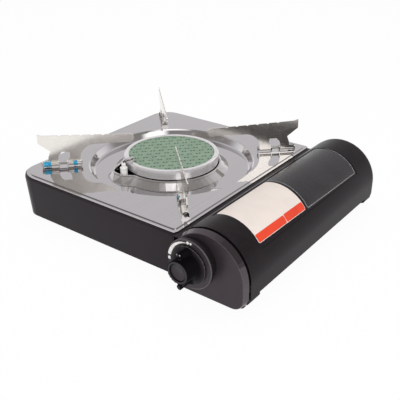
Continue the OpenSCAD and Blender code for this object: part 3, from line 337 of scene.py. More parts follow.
class Coat(Graph):
    """The tree of one material, with its shader and its output."""

    def __init__(self, name: str) -> None:
        """Makes the material and its shader node."""
        self.material = bpy.data.materials.new(name)
        self.material.use_nodes = True
        super().__init__(self.material.node_tree)
        self.shader = self.add("BsdfPrincipled")
        self.out = self.add("OutputMaterial").inputs[0]
        self.join(self.shader.outputs[0], self.out)
        self.bumps: list[tuple[Socket, float, float]] = []

    def effect(self, group: EffectGroup, **values: float) -> Node:
        """Adds a shared effect.

        Args:
            group: The effect.
            values: Its inputs, in lower case.

        Returns:
            The group's node.
        """
        return self.feed(self.add("Group", node_tree=group.tree), **values)

    def set(self, **values: object) -> None:
        """Sets sockets of the shader; a name's underscores stand for spaces."""
        for label, value in values.items():
            self.join(value, self.shader.inputs[label.replace("_", " ").title().replace("Ior", "IOR")])

    def bump(self, height: Socket, strength: float, depth: float) -> None:
        """Adds a bump over the earlier ones.

        Args:
            height: Height of the relief, about 0 to 1.
            strength: Share of the relief that shows.
            depth: Depth of the relief in metres.
        """
        self.bumps.append((height, strength, depth))

    def finish(self) -> bpy.types.Material:
        """Chains the bumps into the shader's normal and hands over the material."""
        last = None
        for height, strength, depth in self.bumps:
            node = self.feed(self.add("Bump"), strength=strength, distance=depth, height=height)
            if last is not None:
                self.join(last, node.inputs["Normal"])
            last = node.outputs[0]
        if last is not None:
            self.join(last, self.shader.inputs["Normal"])
        return self.material


@dataclass(frozen=True)
class Steel:
    """Bare sheet steel with rolled lines, smears and a faint tint."""

    name: str
    colour: Colour
    tint: Colour
    low: float = 0.12
    high: float = 0.2
    lines: float = 0.03
    wave: float = 0.1
    metal: float = 1.0
    line_depth: float = 0.1 * MM
    wave_depth: float = 0.6 * MM

    def build(self) -> bpy.types.Material:
        """Builds the steel's material."""
        coat = Coat(self.name)
        smears = coat.effect(EFFECTS.handling, scale=20.0, low=self.low, high=self.high)
        rolled = coat.effect(EFFECTS.brushing, scale=520.0)
        grain = coat.effect(EFFECTS.grain, scale=60.0, coarse=1.0)
        coat.set(
            base_color=coat.mixed(rolled.outputs["Mask"], self.colour, self.tint),
            metallic=self.metal,
            roughness=smears.outputs["Roughness"],
        )
        coat.bump(rolled.outputs["Height"], self.lines, self.line_depth)
        coat.bump(grain.outputs["Height"], self.wave, self.wave_depth)
        return coat.finish()


@dataclass(frozen=True)
class Moulding:
    """Moulded plastic or rubber with a fine grain."""

    name: str
    colour: Colour
    worn: Colour
    low: float = 0.4
    high: float = 0.52
    grain_scale: float = 1800.0
    relief: float = 0.2
    specular: float = 0.4
    depth: float = 0.06 * MM
    smear_scale: float = 60.0
    coarse: float = 0.4

    def build(self) -> bpy.types.Material:
        """Builds the finish's material."""
        coat = Coat(self.name)
        smears = coat.effect(EFFECTS.handling, scale=self.smear_scale, low=self.low, high=self.high)
        grain = coat.effect(EFFECTS.grain, scale=self.grain_scale, coarse=self.coarse)
        coat.set(
            base_color=self._covered(coat, coat.mixed(smears.outputs["Mask"], self.colour, self.worn)),
            roughness=smears.outputs["Roughness"],
            specular_ior_level=self.specular,
        )
        coat.bump(grain.outputs["Height"], self.relief, self.depth)
        return coat.finish()

    def _covered(self, coat: Coat, colour: Socket) -> Socket:
        """Colour with what lies on the surface, which is nothing here."""
        return colour


@dataclass(frozen=True)
class Enamel(Moulding):
    """Satin paint on sheet metal, with a light orange peel, smears and a little dust."""

    grain_scale: float = 1400.0
    depth: float = 0.08 * MM
    smear_scale: float = 24.0
    coarse: float = 1.2
    gloss: Colour = (1.0, 0.8, 0.96)
    dust: float = 0.05
    dust_colour: Colour = (0.3, 0.28, 0.26)

    def _covered(self, coat: Coat, colour: Socket) -> Socket:
        """Colour with the dust on it, under a tinted shine."""
        coat.set(specular_tint=self.gloss)
        dust = coat.effect(EFFECTS.dust, amount=self.dust)
        return coat.mixed(dust.outputs["Mask"], colour, self.dust_colour)


@dataclass(frozen=True)
class PaintedFacingLight:
    """Grey where a face looks forwards, darker on the walls as painted shade, and pale on the edge between as
    a painted highlight.

    How far a face looks forwards runs from 0, sideways, to 1, straight ahead.
    """

    name: str
    # face is the lit grey; the wall colour is painted shade and the edge colour is a painted highlight
    face: Colour
    wall_shade: Colour
    edge: Colour
    low: float = 0.36
    high: float = 0.48
    wall_rough: float = 0.3
    specular: float = 0.3
    wall_specular: float = 0.1
    front_at: float = 0.5
    rim_r: float = 0.0
    axis: Pair = (108.9 * MM, 42.6 * MM)
    front_soft: float = 0.3
    front_most: float = 0.98
    highlight_in: Pair = (0.3, 0.5)
    highlight_out: Pair = (0.8, 0.97)
    rim_soft: float = 0.15 * MM
    gloss: Colour = (1.0, 0.86, 0.97)
    relief: float = 0.12
    depth: float = 0.06 * MM

    def build(self) -> bpy.types.Material:
        """Builds the material, with its painted shade and painted highlight."""
        coat = Coat(self.name)
        smears = coat.effect(EFFECTS.handling, scale=40.0, low=self.low, high=self.high)
        grain = coat.effect(EFFECTS.grain, scale=1800.0, coarse=0.4)
        facing = coat.math("MULTIPLY", coat.axes("Normal")["Y"], -1.0)
        full_at = min(self.front_at + self.front_soft, self.front_most)
        front = coat.ranged(facing, self.front_at, full_at, 0.0, 1.0)
        # The pale edge colour that this mask lays on is a painted highlight; the darker wall colour is
        # painted shade.
        edge = self._round_highlight(coat) if self.rim_r else coat.ranged(facing, *self.highlight_out, 1.0, 0.0)
        rim_highlight = coat.math("MULTIPLY", coat.ranged(facing, *self.highlight_in, 0.0, 1.0), edge)
        smeared = coat.math("SUBTRACT", smears.outputs["Roughness"], self.wall_rough)
        rough = coat.math("MULTIPLY", smeared, front)
        shine = coat.math("MULTIPLY", front, self.specular - self.wall_specular)
        coat.set(
            base_color=coat.mixed(rim_highlight, coat.mixed(front, self.wall_shade, self.face), self.edge),
            roughness=coat.math("ADD", rough, self.wall_rough),
            specular_ior_level=coat.math("ADD", shine, self.wall_specular),
            specular_tint=self.gloss,
        )
        coat.bump(grain.outputs["Height"], self.relief, self.depth)
        return coat.finish()

    def _round_highlight(self, coat: Coat) -> Socket:
        """1 beyond the radius of the painted edge highlight about the knob's axis, 0 within it."""
        where = coat.axes("Object")
        x = coat.math("SUBTRACT", where["X"], self.axis[0])
        z = coat.math("SUBTRACT", where["Z"], self.axis[1])
        squared = coat.math("ADD", coat.math("MULTIPLY", x, x), coat.math("MULTIPLY", z, z))
        return coat.ranged(coat.math("SQRT", squared), self.rim_r, self.rim_r + self.rim_soft, 0.0, 1.0)


@dataclass(frozen=True)
class BurnerCeramic:
    """Porous green ceramic, with fine holes all over and pairs of deep ones in staggered rows; the holes'
    dark colour is painted shade inside them.
    """

    name: str = "burner_ceramic"
    colour: Colour = (0.235, 0.335, 0.25)
    light: Colour = (0.31, 0.41, 0.31)
    # near-black colour laid into the holes: painted shade inside them
    hole: Colour = (0.012, 0.02, 0.014)
    middle: Pair = (-39.7 * MM, 19.1 * MM)
    pitch: float = 10.6 * MM
    turn: float = 47.43
    first: Pair = (12.65 * MM, -0.84 * MM)
    hole_r: float = 0.98 * MM
    hole_soft: float = 0.03
    fine_r: float = 0.2
    fine_soft: float = 0.16
    hole_depth: float = 0.6 * MM
    grain_depth: float = 0.12 * MM

    def build(self) -> bpy.types.Material:
        """Builds the ceramic's material."""
        coat = Coat(self.name)
        turn = math.radians(self.turn)
        x, y = (self.middle[i] + self.first[i] for i in (0, 1))
        step = self.pitch / 3.0
        deep = []
        for k in (0, 1):
            place = {"across": x + k * step * math.cos(turn), "along": y + k * step * math.sin(turn)}
            size = {"pitch": self.pitch, "radius": self.hole_r / self.pitch, "soft": self.hole_soft}
            rows = coat.effect(EFFECTS.holes, turn=turn, **size, **place)
            deep.append(rows.outputs["Mask"])
        pairs = coat.math("MAXIMUM", deep[0], deep[1])
        size = {"pitch": step / 3.0, "radius": self.fine_r, "soft": self.fine_soft}
        fine = coat.effect(EFFECTS.holes, turn=turn, across=x, along=y, **size)
        grain = coat.effect(EFFECTS.grain, scale=2200.0, coarse=2.0)
        smears = coat.effect(EFFECTS.handling, scale=90.0, low=0.0, high=1.0)
        body = coat.mixed(coat.math("MULTIPLY", smears.outputs["Mask"], 0.6), self.colour, self.light)
        # The hole pattern is the ceramic's own; darkening the holes towards the hole colour is painted shade
        # inside them.
        fine_hole_shade = coat.mixed(coat.math("MULTIPLY", fine.outputs["Mask"], 0.3), body, self.hole)
        coat.set(
            base_color=coat.mixed(coat.math("MULTIPLY", pairs, 0.92), fine_hole_shade, self.hole),
            roughness=coat.ranged(grain.outputs["Mask"], 0.0, 1.0, 0.78, 0.95),
            specular_ior_level=0.2,
        )
        coat.bump(coat.math("SUBTRACT", 1.0, pairs), 0.8, self.hole_depth)
        coat.bump(grain.outputs["Height"], 0.3, self.grain_depth)
        return coat.finish()


@dataclass(frozen=True)
class Print(Moulding):
    """Printed field on a thin film, with a faint mottle."""

    high: float = 0.5
    grain_scale: float = 3000.0
    relief: float = 0.1
    depth: float = 0.03 * MM
    smear_scale: float = 40.0
    coarse: float = 0.5


class Palette:
    """Every finish of the stove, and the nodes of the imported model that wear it."""

    FINISHES: tuple[object, ...] = (
        Enamel(
            "case_black", (0.0125, 0.0105, 0.012), (0.0155, 0.0125, 0.0145), 0.3, 0.42,
            relief=0.1, specular=0.15,
        ),
        Enamel(
            "cover_black", (0.0105, 0.009, 0.01), (0.013, 0.0105, 0.012), 0.28, 0.34,
            relief=0.04, specular=0.08, dust=0.012,
        ),
        # The three tones below paint light: lit grey front faces, painted shade on the walls and a painted
        # highlight on the edges.
        PaintedFacingLight(
            "cap_face", (0.031, 0.0245, 0.029), (0.011, 0.0085, 0.01), (0.055, 0.046, 0.052),
            wall_rough=0.1, wall_specular=1.0,
        ),
        PaintedFacingLight(
            "knob_tone", (0.027, 0.0235, 0.0265), (0.003, 0.0025, 0.003), (0.075, 0.067, 0.073),
            low=0.34, high=0.46, specular=0.25, wall_specular=0.04, front_at=0.84, rim_r=20.0 * MM,
        ),
        PaintedFacingLight(
            "dial_tone", (0.031, 0.026, 0.029), (0.012, 0.01, 0.0115), (0.085, 0.075, 0.08),
            low=0.34, high=0.46, front_at=0.8, rim_r=25.0 * MM,
        ),
        Steel("deck_steel", (0.62, 0.605, 0.615), (0.585, 0.565, 0.57), 0.035, 0.07, 0.008, 0.012),
        Steel("bright_steel", (0.68, 0.665, 0.66), (0.6, 0.575, 0.56), 0.07, 0.14, 0.02, 0.04),
        Steel("support_steel", (0.86, 0.83, 0.785), (0.8, 0.765, 0.715), 0.16, 0.26, 0.03, 0.12, 0.92),
        Steel("ring_steel", (0.82, 0.805, 0.81), (0.74, 0.725, 0.73), 0.12, 0.2, 0.02, 0.01, 0.6),
        Steel("inner_steel", (0.5, 0.49, 0.48), (0.4, 0.38, 0.36), low=0.26, high=0.4),
        Steel("cast_grey", (0.4, 0.39, 0.38), (0.34, 0.33, 0.32), low=0.42, high=0.55, wave=0.5),
        Steel("jet_brass", (0.62, 0.43, 0.17), (0.5, 0.33, 0.13), low=0.22, high=0.36),
        Steel("wire_dark", (0.16, 0.14, 0.13), (0.1, 0.08, 0.08), low=0.3, high=0.45),
        BurnerCeramic(),
        Moulding("fibre_white", (0.68, 0.65, 0.6), (0.58, 0.55, 0.5), 0.85, 0.95, 700.0, 0.8, 0.2),
        Moulding("insulator_white", (0.86, 0.84, 0.83), (0.8, 0.77, 0.74), 0.14, 0.26, 500.0, 0.05, 0.5),
        Moulding("lead_red", (0.3, 0.03, 0.02), (0.22, 0.02, 0.015)),
        Moulding("spark_black", (0.03, 0.03, 0.032), (0.04, 0.04, 0.04), 0.25, 0.35),
        Moulding("plunger_white", (0.66, 0.63, 0.58), (0.56, 0.53, 0.48)),
        Moulding("foot_rubber", (0.012, 0.012, 0.012), (0.025, 0.024, 0.023), 0.6, 0.8),
        Print("field_cream", (0.74, 0.665, 0.61), (0.7, 0.63, 0.58)),
        Print("field_red", (0.74, 0.052, 0.014), (0.66, 0.042, 0.012)),
        Print("field_black", (0.014, 0.0125, 0.014), (0.02, 0.018, 0.02), 0.24, 0.34),
        Print("mark_white", (0.85, 0.84, 0.83), (0.78, 0.77, 0.75), 0.45, 0.55),
        Print("line_grey", (0.42, 0.41, 0.42), (0.34, 0.33, 0.34)),
        Print("film_blue", (0.01, 0.27, 0.5), (0.12, 0.46, 0.6), 0.2, 0.3),
        Print("film_teal", (0.01, 0.16, 0.17), (0.05, 0.27, 0.27), 0.25, 0.35),
    )

    OWN: dict[str, str] = {
        "cartridge_cover": "cover_black",
        "front_cap": "cap_face",
        "knob": "knob_tone",
        "dial_ring": "dial_tone",
        "bezel_ring": "ring_steel",
    }

    def __init__(self) -> None:
        """Builds the materials."""
        self.materials = {finish.name: finish.build() for finish in self.FINISHES}

    def dress_nodes(self) -> None:
        """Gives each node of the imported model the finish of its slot."""
        slots = {row["node"]: row["material_slot"] for row in frame["record"]["subparts"]}
        assert self.OWN.keys() <= slots.keys(), sorted(slots)
        slots |= self.OWN
        for name, node in frame["nodes"].items():
            self.wear(node, slots[name])
        log.info("dressed %d nodes of the packed model", len(frame["nodes"]))

    def wear(self, piece: Piece, finish: str) -> None:
        """Puts one finish on a piece."""
        piece.data.materials.clear()
        piece.data.materials.append(self.materials[finish])


# ---------------------------------------------------------------- making pieces


class Bench:
    """Edit-mode helpers that every sub-assembly uses."""

    @staticmethod
    def clear() -> None:
        """Deselects everything."""
        if bpy.context.object and bpy.context.object.mode != "OBJECT":
            bpy.ops.object.mode_set(mode="OBJECT")
        bpy.ops.object.select_all(action="DESELECT")

    @staticmethod
    def take(piece: Piece) -> None:
        """Selects one piece alone, in object mode, and makes it active."""
        Bench.clear()
        piece.select_set(True)
        bpy.context.view_layer.objects.active = piece

    @staticmethod
    def edit(piece: Piece) -> None:
        """Enters a piece's edit mode with everything selected."""
        Bench.take(piece)
        bpy.ops.object.mode_set(mode="EDIT")
        bpy.ops.mesh.select_all(action="SELECT")

    @staticmethod
    def settle(piece: Piece) -> None:
        """Puts a piece's place into its mesh, so that its object sits at the origin."""
        Bench.take(piece)
        bpy.ops.object.transform_apply(location=True, rotation=True, scale=True)

    @staticmethod
    def pick(piece: Piece, test: Callable[[Vector], bool]) -> int:
        """Selects the vertices that pass a test, in edit mode.

        Args:
            piece: The piece in edit mode.
            test: Takes the place of a vertex and says whether to select it.

        Returns:
            How many were selected.
        """
        bpy.ops.mesh.select_mode(type="VERT")
        bpy.ops.mesh.select_all(action="DESELECT")
        mesh = bmesh.from_edit_mesh(piece.data)
        chosen = [vert for vert in mesh.verts if test(vert.co)]
        for vert in chosen:
            vert.select_set(True)
        bmesh.update_edit_mesh(piece.data)
        return len(chosen)

    @staticmethod
    def shift(piece: Piece, rule: Callable[[Vector], Vector]) -> None:
        """Moves every vertex, in edit mode, to the place that a rule gives for it."""
        mesh = bmesh.from_edit_mesh(piece.data)
        for vert in mesh.verts:
            vert.co = rule(vert.co)
        bmesh.update_edit_mesh(piece.data)

    @staticmethod
    def edge(name: str, start: Vector, stop: Vector) -> Piece:
        """Starts a piece as one straight edge.

        Args:
            name: Name of the piece.
            start: Place of its first vertex.
            stop: Place of its second vertex.

        Returns:
            The piece, in edit mode with everything selected.
        """
        Bench.clear()
        bpy.ops.mesh.primitive_plane_add(size=1.0, location=(0.0, 0.0, 0.0))
        piece = bpy.context.object
        piece.name = name
        bpy.ops.object.mode_set(mode="EDIT")
        Bench.pick(piece, lambda p: p.x > 0.0)
        bpy.ops.mesh.delete(type="VERT")
        Bench.shift(piece, lambda p: start.lerp(stop, p.y + 0.5))
        bpy.ops.mesh.select_all(action="SELECT")
        return piece

    @staticmethod
    def apply(piece: Piece, kind: str, **settings: object) -> None:
        """Adds a modifier and applies it.

        Args:
            piece: The piece.
            kind: Blender's name of the modifier type.
            settings: Its properties.
        """
        modifier = piece.modifiers.new(kind.lower(), kind)
        for name, value in settings.items():
            setattr(modifier, name, value)
        Bench.take(piece)
        bpy.ops.object.modifier_apply(modifier=modifier.name)

    @staticmethod
    def thicken(piece: Piece, away: Callable[[Vector], Vector], **settings: object) -> None:
        """Turns the faces of a thin sheet outwards and gives it thickness.

        Args:
            piece: The piece.
            away: Takes the middle of a face and gives the way that it should look.
            settings: Properties of the Solidify modifier.
        """
        Bench.edit(piece)
        mesh = bmesh.from_edit_mesh(piece.data)
        if sum(face.normal.dot(away(face.calc_center_median())) for face in mesh.faces) < 0.0:
            bpy.ops.mesh.flip_normals()
        bpy.ops.object.mode_set(mode="OBJECT")
        Bench.apply(piece, "SOLIDIFY", **settings)

    @staticmethod
    def close(piece: Piece, body: str, finish: str, palette: Palette, slot: str, angle: float = 30.0) -> None:
        """Smooths, dresses and places a finished piece on its body.

        Args:
            piece: The piece.
            body: Name of the body that it rides on.
            finish: Name of its finish.
            palette: The finishes.
            slot: The record's material slot; not used.
            angle: Edges sharper than this stay sharp, in degrees.
        """
        Bench.settle(piece)
        bpy.ops.object.shade_smooth_by_angle(angle=math.radians(angle))
        palette.wear(piece, finish)
        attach(piece, body)
        log.info("made %s: %d faces on %s", piece.name, len(piece.data.polygons), body)


@dataclass(frozen=True)
class Field:
    """One printed field of the cover.

    Its ends are millimetres behind the front cap, and its angles degrees about the cover's axis, from +X
    towards +Z. Corner radius, height above the panel and, for a bare border, line width: millimetres.
    """

    name: str
    ends: Pair
    turn: Pair
    corner: float
    finish: str
    lift: float = 0.0
    line: float = 0.0


@dataclass
class CoverPanel:
    """Printed fields on the pressed panel of the cartridge cover."""

    axis_x: float = 119.5 * MM
    axis_z: float = 30.0 * MM
    radius: float = 43.93 * MM
    front_y: float = -126.0 * MM
    film: float = 0.1 * MM
    corner: Pair = (37.8, 38.3)
    lean: float = 0.056
    dip: float = -0.021
    facet: float = 2.6 * MM
    least_steps: int = 6
    corner_steps: int = 5
    corner_find: float = 0.5 * MM
    fields: tuple[Field, ...] = (
        Field("field_card", (37.8, 125.2), (38.3, 114.6), 2.0, "field_cream"),
        Field("field_band", (38.4, 88.7), (39.0, 49.9), 1.5, "field_red", 0.08),
        Field("field_block", (89.4, 124.6), (39.0, 50.4), 1.5, "field_red", 0.08),
        Field("field_dark", (127.6, 241.5), (36.4, 117.0), 2.4, "field_black"),
        Field("field_outline", (129.4, 239.8), (37.9, 115.5), 2.4, "line_grey", 0.06, 0.4),
    )

    def build(self, palette: Palette) -> None:
        """Makes the card with its pale field and red bands, and the dark field with its outline."""
        for field in self.fields:
            piece = self._sheet(field)
            Bench.thicken(piece, self._arm, thickness=self.film, offset=1.0, use_even_offset=True)
            Bench.close(piece, Body.COVER.value, field.finish, palette, "case_black")

    def _arm(self, p: Vector) -> Vector:
        """Way from the cover's axis out to a place."""
        return Vector((p.x - self.axis_x, 0.0, p.z - self.axis_z))

    def _spot(self, y: float, turn: float, lift: float) -> Vector:
        """Place on the panel, with the slight turn that the printed card has on it.

        Args:
            y: Distance behind the front cap, in millimetres.
            turn: Angle about the cover's axis, in degrees.
            lift: Height above the panel, in millimetres.

        Returns:
            The place.
        """
        r = self.radius + lift * MM
        a = math.radians(turn + self.dip * (y - self.corner[0]))
        back = self.front_y + (y + self.lean * (turn - self.corner[1])) * MM
        return Vector((self.axis_x + r * math.cos(a), back, self.axis_z + r * math.sin(a)))

    def _sheet(self, field: Field) -> Piece:
        """Makes a curved sheet that follows the cover, or only the line along its border.

        Args:
            field: The field to make.

        Returns:
            The sheet, in edit mode.
        """
        r = self.radius + field.lift * MM
        start, sweep = math.radians(field.turn[0]), math.radians(field.turn[1] - field.turn[0])
        x, z = self.axis_x + r * math.cos(start), self.axis_z + r * math.sin(start)
        piece = Bench.edge(field.name, Vector((x, -0.5, z)), Vector((x, 0.5, z)))
        steps = max(self.least_steps, round(r * sweep / self.facet))
        centre = (self.axis_x, 0.0, self.axis_z)
        bpy.ops.mesh.spin(steps=steps, angle=sweep, center=centre, axis=(0.0, 1.0, 0.0))

        def onto(p: Vector) -> Vector:
            """Place on the card for a vertex of the plain sheet, whose ends lie on both sides of y = 0."""
            arm = self._arm(p)
            end = field.ends[1] if p.y > 0.0 else field.ends[0]
            return self._spot(end, math.degrees(math.atan2(arm.z, arm.x)), field.lift)

        Bench.shift(piece, onto)
        corners = [self._spot(y, turn, field.lift) for turn in field.turn for y in field.ends]
        found = Bench.pick(piece, lambda p: min((p - at).length for at in corners) < self.corner_find)
        assert found == len(corners), (field.name, found)
        bpy.ops.mesh.bevel(offset=field.corner * MM, segments=self.corner_steps, affect="VERTICES")
        bpy.ops.mesh.select_all(action="SELECT")
        bpy.ops.mesh.remove_doubles(threshold=MERGE)
        if field.line:
            Bench.edit(piece)
            bpy.ops.mesh.select_mode(type="FACE")
            bpy.ops.mesh.select_all(action="SELECT")
            bpy.ops.mesh.inset(thickness=field.line * MM, use_boundary=True, use_even_offset=True)
            bpy.ops.mesh.delete(type="FACE")
        return piece


@dataclass
class DialMarks:
    """White level mark and the three round marks by its ends, on the fixed dial ring.

    An edge row gives an angle with the mark's outer and inner radius there. A mark row gives a name, an
    angle, a distance from the axis and a radius. They are in degrees from +X towards +Z and millimetres.
    """

    axis_x: float = 108.9 * MM
    axis_z: float = 42.6 * MM
    front_y: float = -138.0 * MM
    middle_r: float = 22.8 * MM
    half_w: float = 0.5 * MM
    film: float = 0.15 * MM
    steps: int = 36
    dot_points: int = 20
    dot_inset: float = 0.3
    edges: tuple[Triple, ...] = (
        (97.0, 22.95, 22.65),
        (101.0, 23.1, 22.5),
        (115.0, 23.8, 22.05),
        (129.0, 24.25, 21.8),
        (144.0, 24.6, 21.5),
        (159.0, 24.95, 21.4),
        (171.0, 24.95, 21.4),
    )
    marks: tuple[tuple[str, float, float, float], ...] = (
        ("dial_mark_high", 180.8, 23.15, 1.8),
        ("dial_mark_low", 92.5, 23.3, 1.5),
        ("dial_mark_off", 84.0, 23.5, 1.2),
    )

    def build(self, palette: Palette) -> None:
        """Makes the tapered mark and the round marks."""
        self._raise(self._crescent(), palette)
        for row in self.marks:
            self._raise(self._dot(*row), palette)

    def _spot(self, turn: float, reach: float) -> Vector:
        """Place just ahead of the ring's front.

        Args:
            turn: Angle from +X towards +Z, in degrees.
            reach: Distance from the knob's axis, in metres.

        Returns:
            The place.
        """
        a = math.radians(turn)
        x, z = self.axis_x + reach * math.cos(a), self.axis_z + reach * math.sin(a)
        return Vector((x, self.front_y - self.film, z))

    def _edge(self, turn: float, side: int) -> float:
        """Distance of the tapered mark's edge from the axis.

        Args:
            turn: Angle on the dial, in degrees.
            side: 1 for the outer edge and 2 for the inner one.

        Returns:
            The distance in metres.
        """
        for low, high in zip(self.edges, self.edges[1:]):
            if turn <= high[0]:
                share = max(0.0, (turn - low[0]) / (high[0] - low[0]))
                return (low[side] + share * (high[side] - low[side])) * MM
        return self.edges[-1][side] * MM

    def _crescent(self) -> Piece:
        """Makes the tapered arc from the top round to the left, and leaves it in edit mode."""
        start, stop = self.edges[0][0], self.edges[-1][0]
        inner, outer = (self._spot(start, self.middle_r + side * self.half_w) for side in (-1.0, 1.0))
        piece = Bench.edge("dial_level", inner, outer)
        centre, sweep = (self.axis_x, 0.0, self.axis_z), math.radians(stop - start)
        bpy.ops.mesh.spin(steps=self.steps, angle=sweep, center=centre, axis=(0.0, 1.0, 0.0))

        def taper(p: Vector) -> Vector:
            """Place on the mark's edge for a vertex of the even arc."""
            arm = Vector((p.x - self.axis_x, 0.0, p.z - self.axis_z))
            turn = math.degrees(math.atan2(arm.z, arm.x)) % 360.0
            reach = self._edge(turn, 1 if arm.length > self.middle_r else 2)
            return Vector((self.axis_x, p.y, self.axis_z)) + arm.normalized() * reach

        Bench.shift(piece, taper)
        return piece

    def _dot(self, name: str, turn: float, reach: float, size: float) -> Piece:
        """Makes one small round mark.

        Args:
            name: Name of the piece.
            turn: Its angle on the dial, in degrees.
            reach: Its distance from the knob's axis, in millimetres.
            size: Its radius in millimetres.

        Returns:
            The flat mark, in edit mode.
        """
        Bench.clear()
        bpy.ops.mesh.primitive_circle_add(
            vertices=self.dot_points,
            radius=size * MM,
            fill_type="NGON",
            location=self._spot(turn, reach * MM),
            rotation=(math.radians(90.0), 0.0, 0.0),
        )
        piece = bpy.context.object
        piece.name = name
        Bench.settle(piece)
        Bench.edit(piece)
        bpy.ops.mesh.inset(thickness=size * self.dot_inset * MM)
        return piece

    def _raise(self, piece: Piece, palette: Palette) -> None:
        """Turns a flat mark to the front, gives it the film's thickness and puts it on the ring."""
        Bench.thicken(piece, lambda middle: Vector((0.0, -1.0, 0.0)), thickness=self.film, offset=-1.0)
        Bench.close(piece, Body.BASE.value, "mark_white", palette, "dial_black")


@dataclass(frozen=True)
class Scrap:
    """One scrap of film on a support's hinge.

    The support has a direction in degrees and a side, 1 or -1, that it folds to. The scrap runs along the
    rod, in millimetres from the burner's centre, and sweeps down from an angle above the folding side.
    """

    name: str
    body: str
    turn: float
    side: int
    start: float
    stop: float
    first: float
    sweep: float
    finish: str


@dataclass
class FilmScraps:
    """Torn remains of the coloured protective film, crumpled round the hinge knuckles."""

    middle: Triple = (-39.7 * MM, 19.1 * MM, 60.5 * MM)
    knuckle_side: float = 2.35 * MM
    reach: float = 3.35 * MM
    crumple: float = 0.42 * MM
    evenness: float = 0.6
    film: float = 0.07 * MM
    facet: float = 1.1
    facet_turn: float = 20.0
    sharp: float = 25.0
    first_seed: int = 3
    scraps: tuple[Scrap, ...] = (
        Scrap("film_front_left", "support_front_left", 225.5, 1, 143.2, 151.8, 80.0, 255.0, "film_blue"),
        Scrap(
            "film_front_left_inner", "support_front_left", 225.5, 1, 113.0, 117.2, 60.0, 150.0, "film_blue"
        ),
        Scrap("film_front_right", "support_front_right", 315.5, -1, 113.5, 116.5, 60.0, 140.0, "film_blue"),
        Scrap("film_rear_left", "support_rear_left", 135.5, -1, 136.5, 144.0, 80.0, 250.0, "film_teal"),
        Scrap("film_rear_right", "support_rear_right", 45.5, 1, 146.5, 151.8, 100.0, 190.0, "film_teal"),
    )

    def build(self, palette: Palette) -> None:
        """Makes every scrap on the body of its support."""
        for seed, scrap in enumerate(self.scraps, start=self.first_seed):
            piece = self._sleeve(scrap, seed)
            Bench.apply(piece, "SOLIDIFY", thickness=self.film, offset=0.0)
            Bench.close(piece, scrap.body, scrap.finish, palette, "support_steel", self.sharp)

    def _sleeve(self, scrap: Scrap, seed: int) -> Piece:
        """Makes one crumpled sleeve round a part of a knuckle.

        Args:
            scrap: The scrap to make.
            seed: Seed of its crumples.

        Returns:
            The thin sleeve, in object mode.
        """
        a, first = math.radians(scrap.turn), math.radians(scrap.first)
        along = Vector((math.cos(a), math.sin(a), 0.0))
        out = Vector((-math.sin(a), math.cos(a), 0.0)) * scrap.side
        centre = Vector(self.middle) + out * self.knuckle_side
        radial = (out * math.cos(first) + Vector((0.0, 0.0, 1.0)) * math.sin(first)) * self.reach
        start, stop = (centre + along * (end * MM) + radial for end in (scrap.start, scrap.stop))
        piece = Bench.edge(scrap.name, start, stop)
        bpy.ops.mesh.subdivide(number_cuts=round((scrap.stop - scrap.start) / self.facet))
        bpy.ops.mesh.select_all(action="SELECT")
        steps, sweep = round(scrap.sweep / self.facet_turn), scrap.side * math.radians(scrap.sweep)
        bpy.ops.mesh.spin(steps=steps, angle=sweep, center=centre, axis=along)
        bpy.ops.mesh.select_all(action="SELECT")
        bpy.ops.transform.vertex_random(offset=self.crumple, uniform=self.evenness, normal=0.0, seed=seed)
        bpy.ops.object.mode_set(mode="OBJECT")
        return piece


@dataclass
class KnobShape:
    """Visible knob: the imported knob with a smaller, flatter skirt, and two pale grey marks on its bar."""

    axis_x: float = 108.9 * MM
    axis_z: float = 42.6 * MM
    skirt_y: float = -141.9 * MM
    skirt_r: float = 21.8 * MM
    skirt_rim: float = 1.0 * MM
    skirt_find: float = 0.5 * MM
    flatter: float = 1.6 * MM
    smaller: float = 0.936
    sharp: float = 35.0
    mark_y: float = -153.0 * MM
    mark_z: float = 60.9 * MM
    mark_side: float = 1.45 * MM
    mark_size: float = 1.5 * MM
    mark_shares: Triple = (1.0, 0.14, 0.8)
    mark_round: float = 0.06 * MM

    def build(self, palette: Palette) -> None:
        """Reshapes a merged copy of the knob and adds the marks."""
        node = frame["nodes"]["knob"]
        piece = bpy.data.objects.new("knob_shell", node.data.copy())
        bpy.context.scene.collection.objects.link(piece)
        Bench.edit(piece)
        bpy.ops.mesh.remove_doubles(threshold=MERGE)
        axis = (self.axis_x, self.skirt_y, self.axis_z)
        Bench.pick(piece, lambda p: self._reach(p) > self.skirt_r - self.skirt_rim)
        bpy.ops.transform.resize(value=(self.smaller, 1.0, self.smaller), center_override=axis)
        Bench.pick(piece, lambda p: abs(p.y - self.skirt_y) < self.skirt_find)
        bpy.ops.transform.translate(value=(0.0, self.flatter, 0.0))
        Bench.close(piece, Body.KNOB.value, "knob_tone", palette, "knob_black", self.sharp)
        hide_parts("knob")
        for name, side in (("knob_mark_left", -1), ("knob_mark_right", 1)):
            self._mark(name, side, palette)

    def _reach(self, p: Vector) -> float:
        """Distance of a place from the knob's axis."""
        return math.hypot(p.x - self.axis_x, p.z - self.axis_z)

    def _mark(self, name: str, side: int, palette: Palette) -> None:
        """Makes one of the two small pale grey marks on the bar's upper end."""
        Bench.clear()
        at = (self.axis_x + side * self.mark_side, self.mark_y, self.mark_z)
        bpy.ops.mesh.primitive_cube_add(size=self.mark_size, location=at)
        piece = bpy.context.object
        piece.name = name
        Bench.settle(piece)
        Bench.edit(piece)
        bpy.ops.transform.resize(value=self.mark_shares, center_override=at)
        bpy.ops.mesh.bevel(offset=self.mark_round, segments=2)
        Bench.close(piece, Body.KNOB.value, "line_grey", palette, "knob_black")


# ---------------------------------------------------------------- studio


